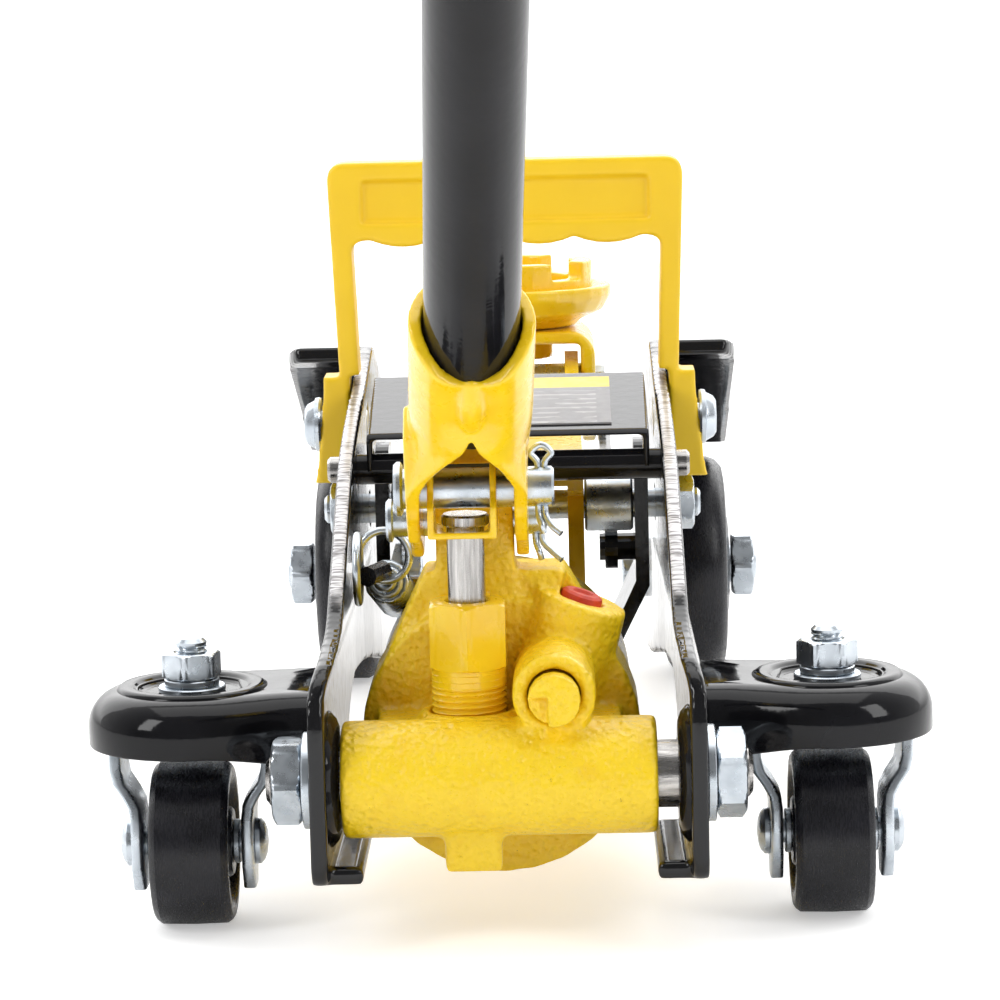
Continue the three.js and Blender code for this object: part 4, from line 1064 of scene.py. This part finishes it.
def yoke_sheet():
    """The yoke's bent sheet; its rim dips towards the two edges that meet."""
    columns = [-1 + 2 * i / 72 for i in range(73)]
    rims = [YOKE_RIM - RIM_DIP * smooth_step(0.5, 1.0, abs(t)) for t in columns]
    rows = []
    for share in (i / 65 for i in range(66)):
        heights = [YOKE_FOOT + (rim - YOKE_FOOT) * share for rim in rims]
        outside = [yoke_section(height, t, YOKE_WALL / 2) for height, t in zip(heights, columns)]
        inside = [yoke_section(height, t, -YOKE_WALL / 2) for height, t in zip(heights, columns)]
        rows.append(outside + inside[::-1])
    sheet = Shape().grid(rows, wrap=True)
    last = 2 * len(columns) - 1
    top = len(sheet.points) - last - 1
    for i in range(len(columns) - 1):
        sheet.faces.append((i, last - i, last - 1 - i, i + 1))
        sheet.faces.append((top + i, top + i + 1, top + last - 1 - i, top + last - i))
    return sheet


def handle_yoke():
    yoke = yoke_sheet()
    add_weld(yoke)
    tip_socket(yoke)
    ears = Shape()
    for side in (-1, 1):
        add_ear(ears, side)
    yoke.add(ears.move(handle_frame(tip=False)))
    made = show("handle_yoke_pressed", yoke, "handle_yoke", crease=180)
    fuse(made, 0.55, 6)


def ear_outline():
    """The side view of an ear: round at the fulcrum, wide where it meets the socket."""
    fulcrum, radius = Vector((2.06, -3.57)), 9.0
    angles = [math.pi + math.pi * i / 24 for i in range(25)]
    foot = [fulcrum + radius * Vector((math.cos(a), math.sin(a))) for a in angles]
    front = [(12.3, 6), (12.6, 14), (10, 26), (4, 40)]
    rear = [(-6, 40), (-9.5, 33), (-13, 27), (-15, 20), (-13.4, 10), (-9.5, 3)]
    return foot + [Vector(point) for point in front + rear]


# ------------------------------------------------------------------ power unit

PUMP_AT = (-9.3, 12, 0)


def pump_barrel():
    """A hexagon head, a neck and a thread with a bore right through."""
    barrel = Shape()
    nut_shape(barrel, PUMP_AT, Z, 18, 16.3, 4.9, math.pi / 6, 64.2)
    barrel.turned([(60, 5), (60, 8.9), (64.4, 8.9), (64.4, 5), (60, 5)], PUMP_AT, Z)
    foot, top = 50.5, 64
    bore, radius = 5.2, 9.1
    steps = 90
    thread = thread_outline(1.5, 0.85)

    def thread_outside(angle, distance, reach):
        return thread(angle, distance, reach) if reach > bore else reach

    rows = [(foot + (top - foot) * i / steps, radius) for i in range(steps + 1)]
    profile = [(foot, bore)] + rows + [(top, bore), (foot, bore)]
    barrel.turned(profile, PUMP_AT, Z, thread_outside, 60)
    show("pump_barrel_turned", barrel, "pump_barrel")


def pump_piston():
    radius = 4.5
    rod = [(65, 0.3), (65, radius), (98.6, radius)]
    head = [(98.6, 5.2), (99.0, 5.7), (100.9, 5.7), (101.4, 5.2), (101.4, 0.3)]
    piston = Shape().turned(rod + head, PUMP_AT, Z)
    show("pump_piston_turned", piston, "pump_piston", look=PISTON_LOOK)


def power_unit():
    moulded("power_unit_casting", 0.75, 14)
    pump_barrel()
    pump_piston()
    moulded("release_valve", 0.35, 4)


def filler_plug():
    foot, top = Vector((8, 29, 48)), Vector((18, 28, 77.8))
    profile = [(-4.5, 0.3), (-4.5, 5.2), (0.3, 5.2), (0.9, 5.0),
               (1.4, 4.2), (1.4, 2.6), (0.7, 2.0), (0.7, 0.3)]
    plug = Shape().turned(profile, top, (top - foot).normalized())
    show("filler_plug_moulded", plug, "filler_plug")


def reservoir_tube():
    tank = Shape()
    profile = [(48.4, 30.2), (48.4, 32.4), (98.4, 32.4), (98.4, 30.2), (48.4, 30.2)]
    tank.turned(profile, (-2, 0, 45), Y, None, 128)
    show("reservoir_tube_drawn", tank, "reservoir_tube")


# ------------------------------------------------------------------ return spring

SPRING_REAR = Vector((-31, 64, 77))
SPRING_FRONT = Vector((-31, 129, 61.5))
LOOP_AT, LOOP_RADIUS, LOOP_WAVE = Vector((-31, 56, 84.5)), 6.4, 0.6
EYE_AT, EYE_RADIUS = Vector((-37, 46, 83)), 8.3
RING_WIRE = 1.0


def ring_route(centre, side, radius, wave=0.0):
    """An upright ring that widens along side; wave bends it to and fro along the jack."""
    route = []
    for k in range(48):
        angle = 2 * math.pi * k / 48
        spoke = math.sin(angle) * Vector(side) + math.cos(angle) * Vector(Z)
        route.append(centre + radius * spoke + wave * math.cos(2 * angle) * Vector(Y))
    return route


def return_spring():
    along = (SPRING_FRONT - SPRING_REAR).normalized()
    across = Vector((1, 0, 0))
    up = along.cross(across)
    length = (SPRING_FRONT - SPRING_REAR).length
    turns, sides = 28, 14
    coil_radius, wire = 5.0, 0.9
    route = []
    for k in range(turns * sides + 1):
        angle = 2 * math.pi * k / sides
        share = k / (turns * sides)
        radius = coil_radius * min(1, 0.35 + share * 9, 0.35 + (1 - share) * 9)
        spoke = across * math.cos(angle) + up * math.sin(angle)
        route.append(SPRING_REAR + along * length * share + spoke * radius)
    coil = Shape().wire(route, wire, 8)
    made = show("return_spring_coil", coil, "return_spring", crease=70)
    made.parent = None
    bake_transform(made)
    loop = Shape()
    loop.wire(ring_route(LOOP_AT, X, LOOP_RADIUS, LOOP_WAVE), RING_WIRE, 12, closed=True)
    lowest = LOOP_AT + Vector((0, LOOP_WAVE, -LOOP_RADIUS))
    tail = [lowest, LOOP_AT + Vector((0, 4, -7)), SPRING_REAR + along * 3]
    loop.wire(smooth_route(tail, 6), RING_WIRE)
    show("return_spring_loop", loop, "spring_eye", look=LOOKS["zinc"])


def spring_eye():
    eye = Shape().wire(ring_route(EYE_AT, Y, EYE_RADIUS), RING_WIRE, 12, closed=True)
    show("spring_eye_bent", eye, "spring_eye")


# ------------------------------------------------------------------ the whole jack

CAD_ROUNDING = {
    "label_plate": 0.1, "pivot_bracket_left": 0.8, "pivot_bracket_right": 0.8, "lift_arm": 0.8,
    "level_link": 0.6, "ram_rod": 0.4, "ram_pin": 0.4, "carrier_pin": 0.4, "reservoir_cap": 0.5,
    "spring_hook": 0.2, "cable_tie": 0.6,
}


def build():
    add_camera()
    add_floor()
    add_lights()
    paint_cad_nodes()
    for node, width in CAD_ROUNDING.items():
        soften_edges(NODES[node], width)
    for part in (cross_shaft, weld_collars, tie_rod, pivot_bolt, front_axles, caster_bolts, carry_bolts,
                 pins, pivot_sleeves, front_wheels, caster_wheels, caster_forks, caster_arms,
                 handle_tube, handle_grip, handle_yoke, power_unit, filler_plug, reservoir_tube,
                 return_spring, spring_eye):
        part()
    carry_handle()
    moulded("piston_bracket", 0.35, 16)
    moulded("cover_plate", 0.42, 14)
    for side in ("left", "right"):
        moulded("side_plate_" + side, 0.8, 7, look=PLATE_LOOK)
    moulded("saddle", 0.5, 18)
    moulded("saddle_carrier", 0.7, 10)


build()
